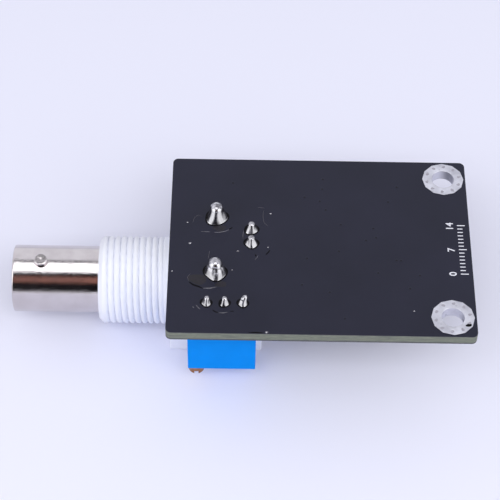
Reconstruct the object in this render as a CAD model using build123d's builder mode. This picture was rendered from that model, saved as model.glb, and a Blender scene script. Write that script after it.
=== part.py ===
from build123d import *
import math
import os

os.makedirs("parts", exist_ok=True)

# Probe interface board: a coaxial bayonet jack and a multi-turn trimmer hang under a small circuit
# board, with a three-way socket at the far end. The solder side faces up, as the board lies on the
# square block of its jack. The origin is midway between the two mounting holes, on the solder face.
# +X runs from the jack towards the mounting holes, +Y away from the trimmer, +Z out of the solder face.

# Fits shared by all pieces
seat_clearance = 0.02
running_clearance = 0.04

# Circuit board
board_length = 43.0
board_width = 32.0
board_thickness = 1.6
board_corner_radius = 0.8
solder_room = 0.2

# Mounting holes with their tinned rings
mounting_hole_spacing = 25.4
mounting_hole_inset = 3.3
mounting_hole_radius = 1.6
ring_radius = 3.05
ring_sides = 12
foil_thickness = 0.06
plating_thickness = 0.05

# Square block and threaded nose of the jack
block_length = 13.5
block_width = 14.5
block_height = 14.5
block_setback = 0.0
block_corner_radius = 0.5
block_edge_chamfer = 0.3
jack_axis_drop = 7.2
nose_length = 10.2
nose_chamfer = 0.6
nose_thread_lead = 1.1
nose_thread_radius = 6.35
nose_thread_depth = 0.5
nose_thread_pitch = 25.4 / 28
nose_thread_turns = 9.5
nose_thread_start_angle = -57.0
nose_groove_mouth_share = 0.62
nose_groove_root_share = 0.1

# Metal shell with two bayonet lugs
shell_radius = 4.85
shell_bore_radius = 4.05
shell_reach = 12.5
shell_seat_depth = 7.7
shell_socket_depth = 8.4
shell_edge = 0.2
lug_offset = 4.14
lug_radius = 0.98
lug_span = 11.0
lug_tilt = 8.0
lug_edge = 0.15

# Insulator and centre contact of the jack
insulator_radius = 2.45
insulator_recess = 3.4
insulator_flange_radius = 3.0
insulator_flange_length = 1.2
insulator_mouth_chamfer = 0.4
contact_recess = 0.15
contact_radius = 1.05
contact_bore_radius = 0.7
contact_bore_depth = 5.0
contact_slot_width = 0.25
contact_slot_depth = 4.0
contact_head_length = 6.5
contact_spring_room = 0.08
contact_rod_radius = 0.6
tail_radius = 0.4
tail_bend_reach = 0.7

# Soldered tails, mounting posts and rear pocket of the jack
post_row_offset = 6.6
post_spacing = 10.16
post_radius = 0.8
post_depth = 5.0
post_tip_height = 2.4
post_tip_chamfer = 0.35
tail_row_offset = 5.08
ground_tail_offset = 2.54
ground_tail_seat_radius = 3.6
ground_tail_seat_depth = 0.8
tail_tip_height = 1.3
pocket_depth = 5.0
pocket_width = 8.4
pocket_floor_drop = 3.0

# Solder cones on the solder face
post_cone_radius = 1.6
post_cone_height = 1.95
tail_cone_radius = 0.95
tail_cone_height = 1.5
trimmer_cone_radius = 0.65
trimmer_cone_height = 1.25
cone_lip = 0.08

# Trimmer body
trimmer_length = 9.65
trimmer_width = 4.83
trimmer_height = 10.03
trimmer_standoff = 0.65
trimmer_foot_length = 0.8
trimmer_wall = 0.5
trimmer_floor_thickness = 1.0
trimmer_corner_radius = 0.15
trimmer_body_shift = -0.35
trimmer_base_thickness = 1.2
trimmer_pin_row_x = 8.05
trimmer_pin_row_y = 5.2
trimmer_pin_pitch = 2.54
trimmer_pin_radius = 0.25
trimmer_pin_tip_height = 1.05
trimmer_pin_lap = 0.85

# Trimmer lead screw with its worm and seal
screw_inset_x = 1.2
screw_inset_y = 1.27
screw_head_radius = 1.12
screw_head_length = 1.45
screw_slot_width = 0.6
screw_slot_depth = 0.55
screw_neck_radius = 0.55
screw_pivot_radius = 0.4
screw_pivot_depth = 0.6
worm_pitch = 0.65
worm_pitch_radius = 0.6
worm_crest_radius = 0.78
worm_root_radius = 0.4
worm_turns = 6
worm_groove_mouth_share = 0.84
worm_groove_root_share = 0.52
worm_room = 0.04
seal_width = 0.38
seal_height = 0.36
seal_recess_depth = 0.5

# Worm wheel, wiper and resistance element
wheel_teeth = 32
wheel_width = 1.3
tooth_addendum = 0.17
tooth_dedendum = 0.24
tooth_tip_width = 0.1
tooth_root_width = 0.24
wheel_axle_radius = 0.7
wheel_pip_radius = 0.5
wheel_recess_radius = 2.4
wheel_hub_radius = 1.2
wheel_recess_depth = 0.3
element_thickness = 0.64
element_edge_room = 0.1
element_hole_radius = 0.95
track_thickness = 0.03
track_radius = 2.6
track_width = 0.5
track_gap_angle = 70.0
collector_radius = 1.65
collector_width = 0.4
track_lead_width = 0.6
wiper_thickness = 0.1
wiper_width = 0.5
wiper_ring_radius = 1.2
wiper_toe = 0.15
wiper_slope_run = 0.5
axle_boss_radius = 1.3
element_rail_width = 0.9

# Three-way socket at the end with the mounting holes
socket_width = 9.9
socket_length = 7.6
socket_height = 5.8
socket_edge_inset = 0.2
socket_side_wall = 0.9
socket_board_wall = 0.7
socket_outer_wall = 0.6
socket_back_wall = 1.6
socket_notch_width = 1.2
socket_notch_depth = 2.0
socket_pin_pitch = 2.0
socket_pin_width = 0.5
socket_pin_recess = 1.2
socket_pin_drop = 0.8
socket_pin_foot = 1.5
socket_pin_bend_radius = 0.3
anchor_thickness = 0.2
anchor_length = 2.6
anchor_height = 2.0
anchor_foot = 1.2
anchor_inset = 1.2

# Surface-mounted chips
chip_length = 4.9
chip_width = 3.9
chip_thickness = 1.45
chip_standoff = 0.1
chip_edge = 0.15
chip_mark_radius = 0.35
chip_mark_depth = 0.08
chip_mark_inset = 0.75
lead_pitch = 1.27
leads_per_side = 4
lead_width = 0.42
lead_thickness = 0.2
lead_span = 6.0
lead_shoulder = 0.35
lead_foot = 0.55
opamp_place = (-1.5, 4.5)
inverter_place = (5.0, -7.0)

# Surface-mounted capacitors, resistors and lamp: length, width and height of each body
tantalum_size = (3.2, 1.6, 1.6)
ceramic_size = (2.0, 1.25, 0.9)
resistor_size = (1.6, 0.8, 0.45)
lamp_size = (2.0, 1.25, 0.45)
lamp_lens_size = (1.2, 1.0, 0.45)
chip_part_edge = 0.08
tantalum_places = ((-4.0, -6.5, 90.0), (-1.0, -12.5, 0.0))
ceramic_places = ((7.6, 4.5, 90.0), (7.6, 8.6, 90.0), (-4.6, 12.0, 0.0))
resistor_places = (
    (-4.6, -1.0, 90.0),
    (-1.6, -1.2, 0.0),
    (2.4, -1.2, 0.0),
    (5.0, 1.2, 90.0),
    (0.4, 9.6, 0.0),
    (3.6, 12.2, 0.0),
)
lamp_place = (9.6, 13.2, 0.0)

# Levels and places that follow from the sizes above
solder_face = 0.0
component_face = solder_face - board_thickness
free_edge_x = mounting_hole_inset
jack_edge_x = free_edge_x - board_length
board_centre_x = (free_edge_x + jack_edge_x) / 2
mounting_hole_y = mounting_hole_spacing / 2

block_front_x = jack_edge_x + block_setback
block_back_x = block_front_x + block_length
block_centre_x = (block_front_x + block_back_x) / 2
block_seat_z = component_face - block_height
jack_axis_z = component_face - jack_axis_drop
nose_front_x = block_front_x - nose_length
nose_thread_x = nose_front_x + nose_thread_lead
mouth_x = nose_front_x - shell_reach
shell_rear_x = nose_front_x + shell_seat_depth
shell_floor_x = mouth_x + shell_socket_depth
lug_x = mouth_x + lug_offset
insulator_front_x = mouth_x + insulator_recess
insulator_flange_rear_x = shell_rear_x + insulator_flange_length
contact_front_x = insulator_front_x + contact_recess
contact_shoulder_x = contact_front_x + contact_head_length
post_row_x = block_front_x + post_row_offset
tail_row_x = post_row_x + tail_row_offset
pocket_front_x = block_back_x - pocket_depth
pocket_floor_z = jack_axis_z - pocket_floor_drop
ground_tail_z = jack_axis_z + math.sqrt(ground_tail_seat_radius**2 - ground_tail_offset**2)

trimmer_middle_pin_x = jack_edge_x + trimmer_pin_row_x
trimmer_pin_y = -board_width / 2 + trimmer_pin_row_y
trimmer_centre_x = trimmer_middle_pin_x + trimmer_body_shift
trimmer_left_x = trimmer_centre_x - trimmer_length / 2
trimmer_right_x = trimmer_centre_x + trimmer_length / 2
trimmer_front_y = trimmer_pin_y - trimmer_width / 2
trimmer_back_y = trimmer_pin_y + trimmer_width / 2
trimmer_rim_z = component_face - trimmer_standoff
trimmer_end_z = trimmer_rim_z - trimmer_height
cavity_floor_z = trimmer_end_z + trimmer_floor_thickness
base_inner_z = trimmer_rim_z - trimmer_base_thickness
screw_x = trimmer_left_x + screw_inset_x
screw_y = trimmer_front_y + screw_inset_y
wheel_pitch_radius = wheel_teeth * worm_pitch / (2 * math.pi)
wheel_tip_radius = wheel_pitch_radius + tooth_addendum
wheel_root_radius = wheel_pitch_radius - tooth_dedendum
wheel_x = screw_x + worm_pitch_radius + wheel_pitch_radius
wheel_z = (base_inner_z + cavity_floor_z) / 2
wheel_front_y = screw_y - wheel_width / 2
wheel_back_y = screw_y + wheel_width / 2
worm_start_z = wheel_z - worm_turns / 2 * worm_pitch
element_front_y = trimmer_pin_y + trimmer_pin_radius + track_thickness
element_back_y = element_front_y + element_thickness
cavity_back_y = trimmer_back_y - trimmer_wall
boss_bore_end_y = cavity_back_y - seat_clearance
element_top_z = base_inner_z - element_edge_room
element_end_z = cavity_floor_z + element_edge_room
pin_inner_z = element_top_z - trimmer_pin_lap

socket_mouth_x = free_edge_x - socket_edge_inset
socket_back_x = socket_mouth_x - socket_length
socket_centre_x = (socket_mouth_x + socket_back_x) / 2
socket_outer_z = component_face - socket_height
socket_cavity_top_z = component_face - socket_board_wall
socket_cavity_end_z = socket_outer_z + socket_outer_wall
socket_pin_z = (socket_cavity_top_z + socket_cavity_end_z) / 2

jack_axis = Axis((0, 0, jack_axis_z), (1, 0, 0))


def side_plane(x, y, z):
    """Upright plane whose local x runs along +X and local y along +Z."""
    return Plane(origin=(x, y, z), x_dir=(1, 0, 0), z_dir=(0, -1, 0))


def end_plane(x, y, z):
    """Upright plane that looks along +X, with local x along +Y and local y along +Z."""
    return Plane(origin=(x, y, z), x_dir=(0, 1, 0), z_dir=(1, 0, 0))


def turned(plane, angle):
    """The same plane with its local x turned about its normal."""
    spin = Axis(plane.origin, plane.z_dir)
    return Plane(origin=plane.origin, x_dir=plane.x_dir.rotate(spin, angle), z_dir=plane.z_dir)


def on_board(place):
    """Point on the component face, from its offset to the middle of the board."""
    return board_centre_x + place[0], place[1]


def save(builder, label):
    """Name a finished piece and write it to its own file."""
    builder.part.label = label
    export_step(builder.part, f"parts/{label}.step")


def helical_groove(start, turns, pitch, crest_radius, root_radius, mouth_share, root_share):
    """Cutter for a right-hand thread, from the local x of start along its normal.

    The groove's section is a trapezoid, as wide as the two shares of the pitch at the crest and at
    the root. It is carried along a helix, and stands a fifth of its depth above the crest.
    """
    depth = crest_radius - root_radius
    over = depth / 5
    root_half = pitch * root_share / 2
    mouth_half = pitch * mouth_share / 2
    outer_half = mouth_half + (mouth_half - root_half) * over / depth
    with BuildPart() as groove:
        with BuildLine():
            Helix(pitch=pitch, height=turns * pitch, radius=root_radius)
        with BuildSketch(Plane.XZ):
            Polygon(
                (root_radius, -root_half),
                (crest_radius + over, -outer_half),
                (crest_radius + over, outer_half),
                (root_radius, root_half),
                align=None,
            )
        sweep(is_frenet=True)
    return groove.part.moved(start.location)


def bent_tail(start, corner, end, radius):
    """Round wire from start to end, set round the corner in two half bends."""
    corner_point = Vector(*corner)
    arrival = (corner_point - Vector(*start)).normalized()
    leaving = (Vector(*end) - corner_point).normalized()
    with BuildPart() as tail:
        with BuildLine() as path:
            Polyline(
                start,
                corner_point - arrival * tail_bend_reach,
                corner_point + leaving * tail_bend_reach,
                end,
            )
        with BuildSketch(Plane(origin=start, z_dir=arrival)):
            Circle(radius)
        sweep(path=path.line, transition=Transition.RIGHT)
    return tail.part


# Circuit board with its mounting holes, stitching holes and the holes for every soldered pin
mounting_holes = [(0, mounting_hole_y), (0, -mounting_hole_y)]
post_places = [(post_row_x, post_spacing / 2), (post_row_x, -post_spacing / 2)]
tail_places = [(tail_row_x, 0), (tail_row_x, ground_tail_offset)]
trimmer_pin_places = [
    (trimmer_middle_pin_x + step * trimmer_pin_pitch, trimmer_pin_y) for step in (-1, 0, 1)
]

with BuildPart() as circuit_board:
    with BuildSketch(Plane.XY.offset(component_face)):
        with Locations((board_centre_x, 0)):
            RectangleRounded(board_length, board_width, board_corner_radius)
        with Locations(*mounting_holes):
            Circle(mounting_hole_radius + plating_thickness + seat_clearance, mode=Mode.SUBTRACT)
        with Locations(*post_places):
            Circle(post_radius + solder_room + seat_clearance, mode=Mode.SUBTRACT)
        with Locations(*tail_places):
            Circle(tail_radius + solder_room + seat_clearance, mode=Mode.SUBTRACT)
        with Locations(*trimmer_pin_places):
            Circle(trimmer_pin_radius + solder_room + seat_clearance, mode=Mode.SUBTRACT)
    extrude(amount=board_thickness)
save(circuit_board, "circuit_board")


# Tinned ring of each mounting hole: a pad on both faces, joined by the plated wall of the hole
def mounting_ring(label, y):
    """Pads and plated wall of the mounting hole at the given y."""
    with BuildPart() as ring:
        for face, growth in ((solder_face, foil_thickness), (component_face, -foil_thickness)):
            with BuildSketch(Plane.XY.offset(face)):
                with Locations((0, y)):
                    RegularPolygon(ring_radius, ring_sides)
                    Circle(mounting_hole_radius, mode=Mode.SUBTRACT)
            extrude(amount=growth)
        with BuildSketch(Plane.XY.offset(component_face)):
            with Locations((0, y)):
                Circle(mounting_hole_radius + plating_thickness)
                Circle(mounting_hole_radius, mode=Mode.SUBTRACT)
        extrude(amount=board_thickness)
    save(ring, label)


mounting_ring("mounting_ring_far", mounting_hole_y)
mounting_ring("mounting_ring_near", -mounting_hole_y)

# Jack housing: square block with a threaded nose, bored for the shell and open at the back
nose_thread_start = turned(
    Plane(origin=(nose_thread_x, 0, jack_axis_z), x_dir=(0, 0, 1), z_dir=(1, 0, 0)),
    nose_thread_start_angle,
)
nose_groove = helical_groove(
    nose_thread_start,
    nose_thread_turns,
    nose_thread_pitch,
    nose_thread_radius,
    nose_thread_radius - nose_thread_depth,
    nose_groove_mouth_share,
    nose_groove_root_share,
)

with BuildPart() as jack_housing:
    with BuildSketch(Plane.XY.offset(component_face)):
        with Locations((block_centre_x, 0)):
            RectangleRounded(block_length, block_width, block_corner_radius)
    extrude(amount=-block_height)
    chamfer(jack_housing.faces().sort_by(Axis.Z)[0].edges(), block_edge_chamfer)
    with BuildSketch(side_plane(0, 0, jack_axis_z)):
        with BuildLine():
            Polyline(
                (nose_front_x, 0),
                (nose_front_x, nose_thread_radius - nose_chamfer),
                (nose_front_x + nose_chamfer, nose_thread_radius),
                (block_front_x, nose_thread_radius),
                (block_front_x, 0),
                close=True,
            )
        make_face()
    revolve(axis=jack_axis)
    add(nose_groove, mode=Mode.SUBTRACT)
    with BuildSketch(end_plane(nose_front_x, 0, jack_axis_z)):
        Circle(shell_radius + seat_clearance)
    extrude(amount=shell_seat_depth, mode=Mode.SUBTRACT)
    with BuildSketch(end_plane(shell_rear_x, 0, jack_axis_z)):
        Circle(insulator_flange_radius + seat_clearance)
    extrude(amount=insulator_flange_length, mode=Mode.SUBTRACT)
    with BuildSketch(end_plane(shell_rear_x, 0, jack_axis_z)):
        Circle(insulator_radius + seat_clearance)
        with Locations((ground_tail_offset, ground_tail_z - jack_axis_z)):
            Circle(tail_radius + seat_clearance)
    extrude(amount=pocket_front_x - shell_rear_x, mode=Mode.SUBTRACT)
    with BuildSketch(Plane.XY.offset(component_face)):
        with Locations((block_back_x, 0)):
            Rectangle(pocket_depth, pocket_width, align=(Align.MAX, Align.CENTER))
    extrude(amount=pocket_floor_z - component_face, mode=Mode.SUBTRACT)
    with BuildSketch(Plane.XY.offset(component_face)):
        with Locations(*post_places):
            Circle(post_radius + seat_clearance)
    extrude(amount=-post_depth, mode=Mode.SUBTRACT)
save(jack_housing, "jack_housing")

# Rear insert, which closes the pocket behind the soldered tails
with BuildPart() as jack_rear_insert:
    with BuildSketch(Plane.XY.offset(component_face)):
        with Locations((block_back_x, 0)):
            Rectangle(
                pocket_depth - seat_clearance,
                pocket_width - 2 * seat_clearance,
                align=(Align.MAX, Align.CENTER),
            )
    extrude(amount=pocket_floor_z - component_face + seat_clearance)
    for tail_y, tail_z in ((0, jack_axis_z), (ground_tail_offset, ground_tail_z)):
        slot_room = tail_radius + seat_clearance
        with BuildSketch(Plane.XY.offset(component_face)):
            with Locations((tail_row_x + slot_room, tail_y)):
                Rectangle(
                    tail_row_x + slot_room - pocket_front_x,
                    2 * slot_room,
                    align=(Align.MAX, Align.CENTER),
                )
        extrude(amount=tail_z - slot_room - component_face, mode=Mode.SUBTRACT)
save(jack_rear_insert, "jack_rear_insert")

# Metal shell: open socket in front, smaller bore behind it, two lugs near the mouth
with BuildPart() as jack_shell:
    with BuildSketch(side_plane(0, 0, jack_axis_z)):
        with BuildLine():
            Polyline(
                (mouth_x, shell_bore_radius + shell_edge),
                (mouth_x, shell_radius - shell_edge),
                (mouth_x + shell_edge, shell_radius),
                (shell_rear_x, shell_radius),
                (shell_rear_x, insulator_radius + seat_clearance),
                (shell_floor_x, insulator_radius + seat_clearance),
                (shell_floor_x, shell_bore_radius),
                (mouth_x + shell_edge, shell_bore_radius),
                close=True,
            )
        make_face()
    revolve(axis=jack_axis)
    tilt = math.radians(lug_tilt)
    lug_foot_radius = (shell_radius + shell_bore_radius) / 2
    for sense in (1, -1):
        outward = Vector(0, -sense * math.sin(tilt), sense * math.cos(tilt))
        lug_centre = Vector(lug_x, 0, jack_axis_z)
        with BuildSketch(Plane(origin=lug_centre + outward * lug_foot_radius, z_dir=outward)):
            Circle(lug_radius)
        extrude(amount=lug_span / 2 - lug_foot_radius)
        lug_end = jack_shell.faces().sort_by_distance(lug_centre + outward * lug_span)[0]
        chamfer(lug_end.edges(), lug_edge)
    with BuildSketch(end_plane(shell_rear_x, 0, jack_axis_z)):
        with Locations((ground_tail_offset, ground_tail_z - jack_axis_z)):
            Circle(tail_radius + seat_clearance)
    extrude(amount=-ground_tail_seat_depth, mode=Mode.SUBTRACT)
save(jack_shell, "jack_shell")

# Insulator tube, flanged behind the shell and bored for the contact's head and rod
insulator_bore_radius = contact_radius + contact_spring_room
with BuildPart() as jack_insulator:
    with BuildSketch(side_plane(0, 0, jack_axis_z)):
        with BuildLine():
            Polyline(
                (insulator_front_x, insulator_bore_radius + insulator_mouth_chamfer),
                (insulator_front_x, insulator_radius),
                (shell_rear_x + seat_clearance, insulator_radius),
                (shell_rear_x + seat_clearance, insulator_flange_radius),
                (insulator_flange_rear_x - seat_clearance, insulator_flange_radius),
                (insulator_flange_rear_x - seat_clearance, insulator_radius),
                (pocket_front_x, insulator_radius),
                (pocket_front_x, contact_rod_radius + seat_clearance),
                (contact_shoulder_x + seat_clearance, contact_rod_radius + seat_clearance),
                (contact_shoulder_x + seat_clearance, insulator_bore_radius),
                (insulator_front_x + insulator_mouth_chamfer, insulator_bore_radius),
                close=True,
            )
        make_face()
    revolve(axis=jack_axis)
save(jack_insulator, "jack_insulator")

# Centre contact: slotted socket, rod and a tail that bends up through the board
contact_rod_rear_x = pocket_front_x - contact_rod_radius
with BuildPart() as jack_centre_contact:
    with BuildSketch(side_plane(0, 0, jack_axis_z)):
        with BuildLine():
            Polyline(
                (contact_front_x, contact_bore_radius),
                (contact_front_x, contact_radius),
                (contact_shoulder_x, contact_radius),
                (contact_shoulder_x, contact_rod_radius),
                (contact_rod_rear_x, contact_rod_radius),
                (contact_rod_rear_x, 0),
                (contact_front_x + contact_bore_depth, 0),
                (contact_front_x + contact_bore_depth, contact_bore_radius),
                close=True,
            )
        make_face()
    revolve(axis=jack_axis)
    with BuildSketch(end_plane(contact_front_x, 0, jack_axis_z)):
        Rectangle(contact_slot_width, 2 * contact_radius)
        Rectangle(2 * contact_radius, contact_slot_width)
    extrude(amount=contact_slot_depth, mode=Mode.SUBTRACT)
    add(
        bent_tail(
            (contact_rod_rear_x, 0, jack_axis_z),
            (tail_row_x, 0, jack_axis_z),
            (tail_row_x, 0, tail_tip_height),
            tail_radius,
        )
    )
save(jack_centre_contact, "jack_centre_contact")

# Ground tail, staked into the rear of the shell
with BuildPart() as jack_ground_tail:
    add(
        bent_tail(
            (shell_rear_x - ground_tail_seat_depth, ground_tail_offset, ground_tail_z),
            (tail_row_x, ground_tail_offset, ground_tail_z),
            (tail_row_x, ground_tail_offset, tail_tip_height),
            tail_radius,
        )
    )
save(jack_ground_tail, "jack_ground_tail")


# Mounting posts, pressed into the block and soldered to the board
def jack_post(label, x, y):
    """Round post with a chamfered tip above the solder face."""
    foot_z = component_face - post_depth
    with BuildPart() as post:
        with BuildSketch(Plane.XY.offset(foot_z)):
            with Locations((x, y)):
                Circle(post_radius)
        extrude(amount=post_tip_height - foot_z)
        chamfer(post.faces().sort_by(Axis.Z)[-1].edges(), post_tip_chamfer)
    save(post, label)


for (post_x, post_y), side in zip(post_places, ("far", "near")):
    jack_post(f"jack_post_{side}", post_x, post_y)


# Solder joints
def solder_joint(label, place, pin_radius, cone_radius, cone_height):
    """Solder that fills a plated hole round its pin and climbs the pin as a cone."""
    x, y = place
    inner = pin_radius + seat_clearance
    sleeve = pin_radius + solder_room
    lip = inner + cone_lip
    with BuildPart() as joint:
        with BuildSketch(side_plane(x, y, 0)):
            with BuildLine():
                Polyline(
                    (lip, cone_height),
                    (inner, cone_height),
                    (inner, component_face),
                    (sleeve, component_face),
                    (sleeve, solder_face),
                    (cone_radius, solder_face),
                    close=True,
                )
            make_face()
        revolve(axis=Axis((x, y, 0), (0, 0, 1)))
    save(joint, label)


for place, side in zip(post_places, ("far", "near")):
    solder_joint(f"post_solder_{side}", place, post_radius, post_cone_radius, post_cone_height)
for place, tail_name in zip(tail_places, ("signal", "ground")):
    solder_joint(f"{tail_name}_solder", place, tail_radius, tail_cone_radius, tail_cone_height)
for number, place in enumerate(trimmer_pin_places, start=1):
    solder_joint(
        f"trimmer_solder_{number}", place, trimmer_pin_radius, trimmer_cone_radius, trimmer_cone_height
    )

# Trimmer housing: a cup that opens towards the board and stands on two feet
cavity_length = trimmer_length - 2 * trimmer_wall
cavity_width = trimmer_width - 2 * trimmer_wall
cavity_left_x = trimmer_left_x + trimmer_wall
seal_inner_radius = screw_neck_radius + seat_clearance
seal_recess_radius = seal_inner_radius + seal_width + seat_clearance
with BuildPart() as trimmer_housing:
    with BuildSketch(Plane.XY.offset(trimmer_rim_z)):
        with Locations((trimmer_centre_x, trimmer_pin_y)):
            RectangleRounded(trimmer_length, trimmer_width, trimmer_corner_radius)
    extrude(amount=-trimmer_height)
    with BuildSketch(Plane.XY.offset(trimmer_rim_z)):
        with Locations((trimmer_centre_x, trimmer_pin_y)):
            with GridLocations(trimmer_length - trimmer_foot_length, 0, 2, 1):
                Rectangle(trimmer_foot_length, trimmer_width - 2 * trimmer_corner_radius)
    extrude(amount=trimmer_standoff)
    with BuildSketch(Plane.XY.offset(trimmer_rim_z)):
        with Locations((trimmer_centre_x, trimmer_pin_y)):
            Rectangle(cavity_length, cavity_width)
    extrude(amount=cavity_floor_z - trimmer_rim_z, mode=Mode.SUBTRACT)
    with BuildSketch(Plane.XY.offset(base_inner_z)):
        with Locations((screw_x, screw_y)):
            Circle(worm_crest_radius + worm_room)
    extrude(amount=cavity_floor_z - base_inner_z, mode=Mode.SUBTRACT)
    with BuildSketch(Plane.XY.offset(trimmer_end_z)):
        with Locations((screw_x, screw_y)):
            Circle(seal_recess_radius)
    extrude(amount=seal_recess_depth, mode=Mode.SUBTRACT)
    with BuildSketch(Plane.XY.offset(trimmer_end_z)):
        with Locations((screw_x, screw_y)):
            Circle(screw_neck_radius + running_clearance)
    extrude(amount=trimmer_floor_thickness, mode=Mode.SUBTRACT)
    with BuildSketch(side_plane(0, cavity_back_y, 0)):
        rail_span = cavity_length - element_rail_width - 2 * element_edge_room
        with Locations((trimmer_centre_x, (element_top_z + element_end_z) / 2)):
            with GridLocations(rail_span, 0, 2, 1):
                Rectangle(element_rail_width, element_top_z - element_end_z)
        with Locations((wheel_x, wheel_z)):
            Circle(axle_boss_radius)
    extrude(amount=cavity_back_y - element_back_y - seat_clearance)
    with BuildSketch(side_plane(0, boss_bore_end_y, 0)):
        with Locations((wheel_x, wheel_z)):
            Circle(wheel_axle_radius + running_clearance)
    extrude(amount=boss_bore_end_y - element_back_y, mode=Mode.SUBTRACT)
save(trimmer_housing, "trimmer_housing")

# Trimmer base, which closes the cup round the pins and holds the screw's inner end
with BuildPart() as trimmer_base:
    with BuildSketch(Plane.XY.offset(trimmer_rim_z)):
        with Locations((trimmer_centre_x, trimmer_pin_y)):
            Rectangle(cavity_length - 2 * seat_clearance, cavity_width - 2 * seat_clearance)
        with Locations(*trimmer_pin_places):
            Circle(trimmer_pin_radius + seat_clearance, mode=Mode.SUBTRACT)
    extrude(amount=-trimmer_base_thickness)
    with BuildSketch(Plane.XY.offset(base_inner_z)):
        with Locations((screw_x, screw_y)):
            Circle(screw_pivot_radius + running_clearance)
    extrude(amount=screw_pivot_depth, mode=Mode.SUBTRACT)
save(trimmer_base, "trimmer_base")

# Lead screw: slotted head, neck, worm and pivot. The worm's groove passes the wheel's centre on the
# wheel's side, so that the tooth that points at the screw lies in it.
worm_start = turned(Plane((screw_x, screw_y, worm_start_z)), -180 * worm_turns)
worm_groove = helical_groove(
    worm_start,
    worm_turns,
    worm_pitch,
    worm_crest_radius,
    worm_root_radius,
    worm_groove_mouth_share,
    worm_groove_root_share,
)
head_inner_z = trimmer_end_z - running_clearance
head_end_z = head_inner_z - screw_head_length
worm_floor_z = cavity_floor_z + running_clearance
worm_top_z = base_inner_z - running_clearance
pivot_end_z = base_inner_z + screw_pivot_depth - running_clearance
with BuildPart() as trimmer_screw:
    with BuildSketch(side_plane(screw_x, screw_y, 0)):
        with BuildLine():
            Polyline(
                (0, head_end_z),
                (screw_head_radius, head_end_z),
                (screw_head_radius, head_inner_z),
                (screw_neck_radius, head_inner_z),
                (screw_neck_radius, worm_floor_z),
                (worm_crest_radius, worm_floor_z),
                (worm_crest_radius, worm_top_z),
                (screw_pivot_radius, worm_top_z),
                (screw_pivot_radius, pivot_end_z),
                (0, pivot_end_z),
                close=True,
            )
        make_face()
    revolve(axis=Axis((screw_x, screw_y, 0), (0, 0, 1)))
    add(worm_groove, mode=Mode.SUBTRACT)
    with BuildSketch(Plane.XY.offset(head_end_z)):
        with Locations((screw_x, screw_y)):
            Rectangle(screw_slot_width, 2 * screw_head_radius)
    extrude(amount=screw_slot_depth, mode=Mode.SUBTRACT)
save(trimmer_screw, "trimmer_screw")

# Seal ring of square section, in the recess between the screw's head and the cup
with BuildPart() as trimmer_seal:
    with BuildSketch(Plane.XY.offset(trimmer_end_z + seal_recess_depth - seat_clearance)):
        with Locations((screw_x, screw_y)):
            Circle(seal_inner_radius + seal_width)
            Circle(seal_inner_radius, mode=Mode.SUBTRACT)
    extrude(amount=-seal_height)
save(trimmer_seal, "trimmer_seal")

# Worm wheel, with its axle towards the back and a small pip against the front wall
with BuildPart() as trimmer_rotor:
    with BuildSketch(side_plane(wheel_x, wheel_back_y, wheel_z)):
        Circle(wheel_root_radius)
        with PolarLocations(0, wheel_teeth, start_angle=180):
            Polygon(
                (wheel_root_radius - tooth_dedendum, tooth_root_width / 2),
                (wheel_root_radius, tooth_root_width / 2),
                (wheel_tip_radius, tooth_tip_width / 2),
                (wheel_tip_radius, -tooth_tip_width / 2),
                (wheel_root_radius, -tooth_root_width / 2),
                (wheel_root_radius - tooth_dedendum, -tooth_root_width / 2),
                align=None,
            )
    extrude(amount=wheel_width)
    with BuildSketch(side_plane(wheel_x, wheel_front_y, wheel_z)):
        Circle(wheel_recess_radius)
        Circle(wheel_hub_radius, mode=Mode.SUBTRACT)
    extrude(amount=-wheel_recess_depth, mode=Mode.SUBTRACT)
    with BuildSketch(side_plane(wheel_x, wheel_front_y, wheel_z)):
        Circle(wheel_pip_radius)
    extrude(amount=wheel_front_y - trimmer_front_y - trimmer_wall - running_clearance)
    with BuildSketch(side_plane(wheel_x, wheel_back_y, wheel_z)):
        Circle(wheel_axle_radius)
    extrude(amount=wheel_back_y - boss_bore_end_y + running_clearance)
save(trimmer_rotor, "trimmer_rotor")

# Resistance element: a ceramic plate with a printed track, a collector ring and three leads
with BuildPart() as trimmer_element:
    with BuildSketch(side_plane(0, element_back_y, 0)):
        with Locations((trimmer_centre_x, (element_top_z + element_end_z) / 2)):
            Rectangle(cavity_length - 2 * element_edge_room, element_top_z - element_end_z)
        with Locations((wheel_x, wheel_z)):
            Circle(element_hole_radius, mode=Mode.SUBTRACT)
    extrude(amount=element_thickness)
save(trimmer_element, "trimmer_element")

track_outer = track_radius + track_width / 2
track_inner = track_radius - track_width / 2
collector_outer = collector_radius + collector_width / 2
gap_half = math.radians(track_gap_angle / 2)
lead_top_z = element_top_z - element_edge_room
track_end_z = wheel_z + track_inner * math.cos(gap_half)
with BuildPart() as trimmer_track:
    with BuildSketch(side_plane(0, element_front_y, 0)):
        with Locations((wheel_x, wheel_z)):
            Circle(track_outer)
            Circle(track_inner, mode=Mode.SUBTRACT)
            Polygon(
                (0, 0),
                (2 * track_outer * math.sin(gap_half), 2 * track_outer * math.cos(gap_half)),
                (-2 * track_outer * math.sin(gap_half), 2 * track_outer * math.cos(gap_half)),
                align=None,
                mode=Mode.SUBTRACT,
            )
            Circle(collector_outer)
            Circle(collector_radius - collector_width / 2, mode=Mode.SUBTRACT)
        for pin_x, lead_end_z in zip(
            [place[0] for place in trimmer_pin_places],
            [track_end_z - track_width, wheel_z + collector_radius, track_end_z - track_width],
        ):
            with Locations((pin_x, lead_top_z)):
                Rectangle(track_lead_width, lead_top_z - lead_end_z, align=(Align.CENTER, Align.MAX))
    extrude(amount=track_thickness)
save(trimmer_track, "trimmer_track")

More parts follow.
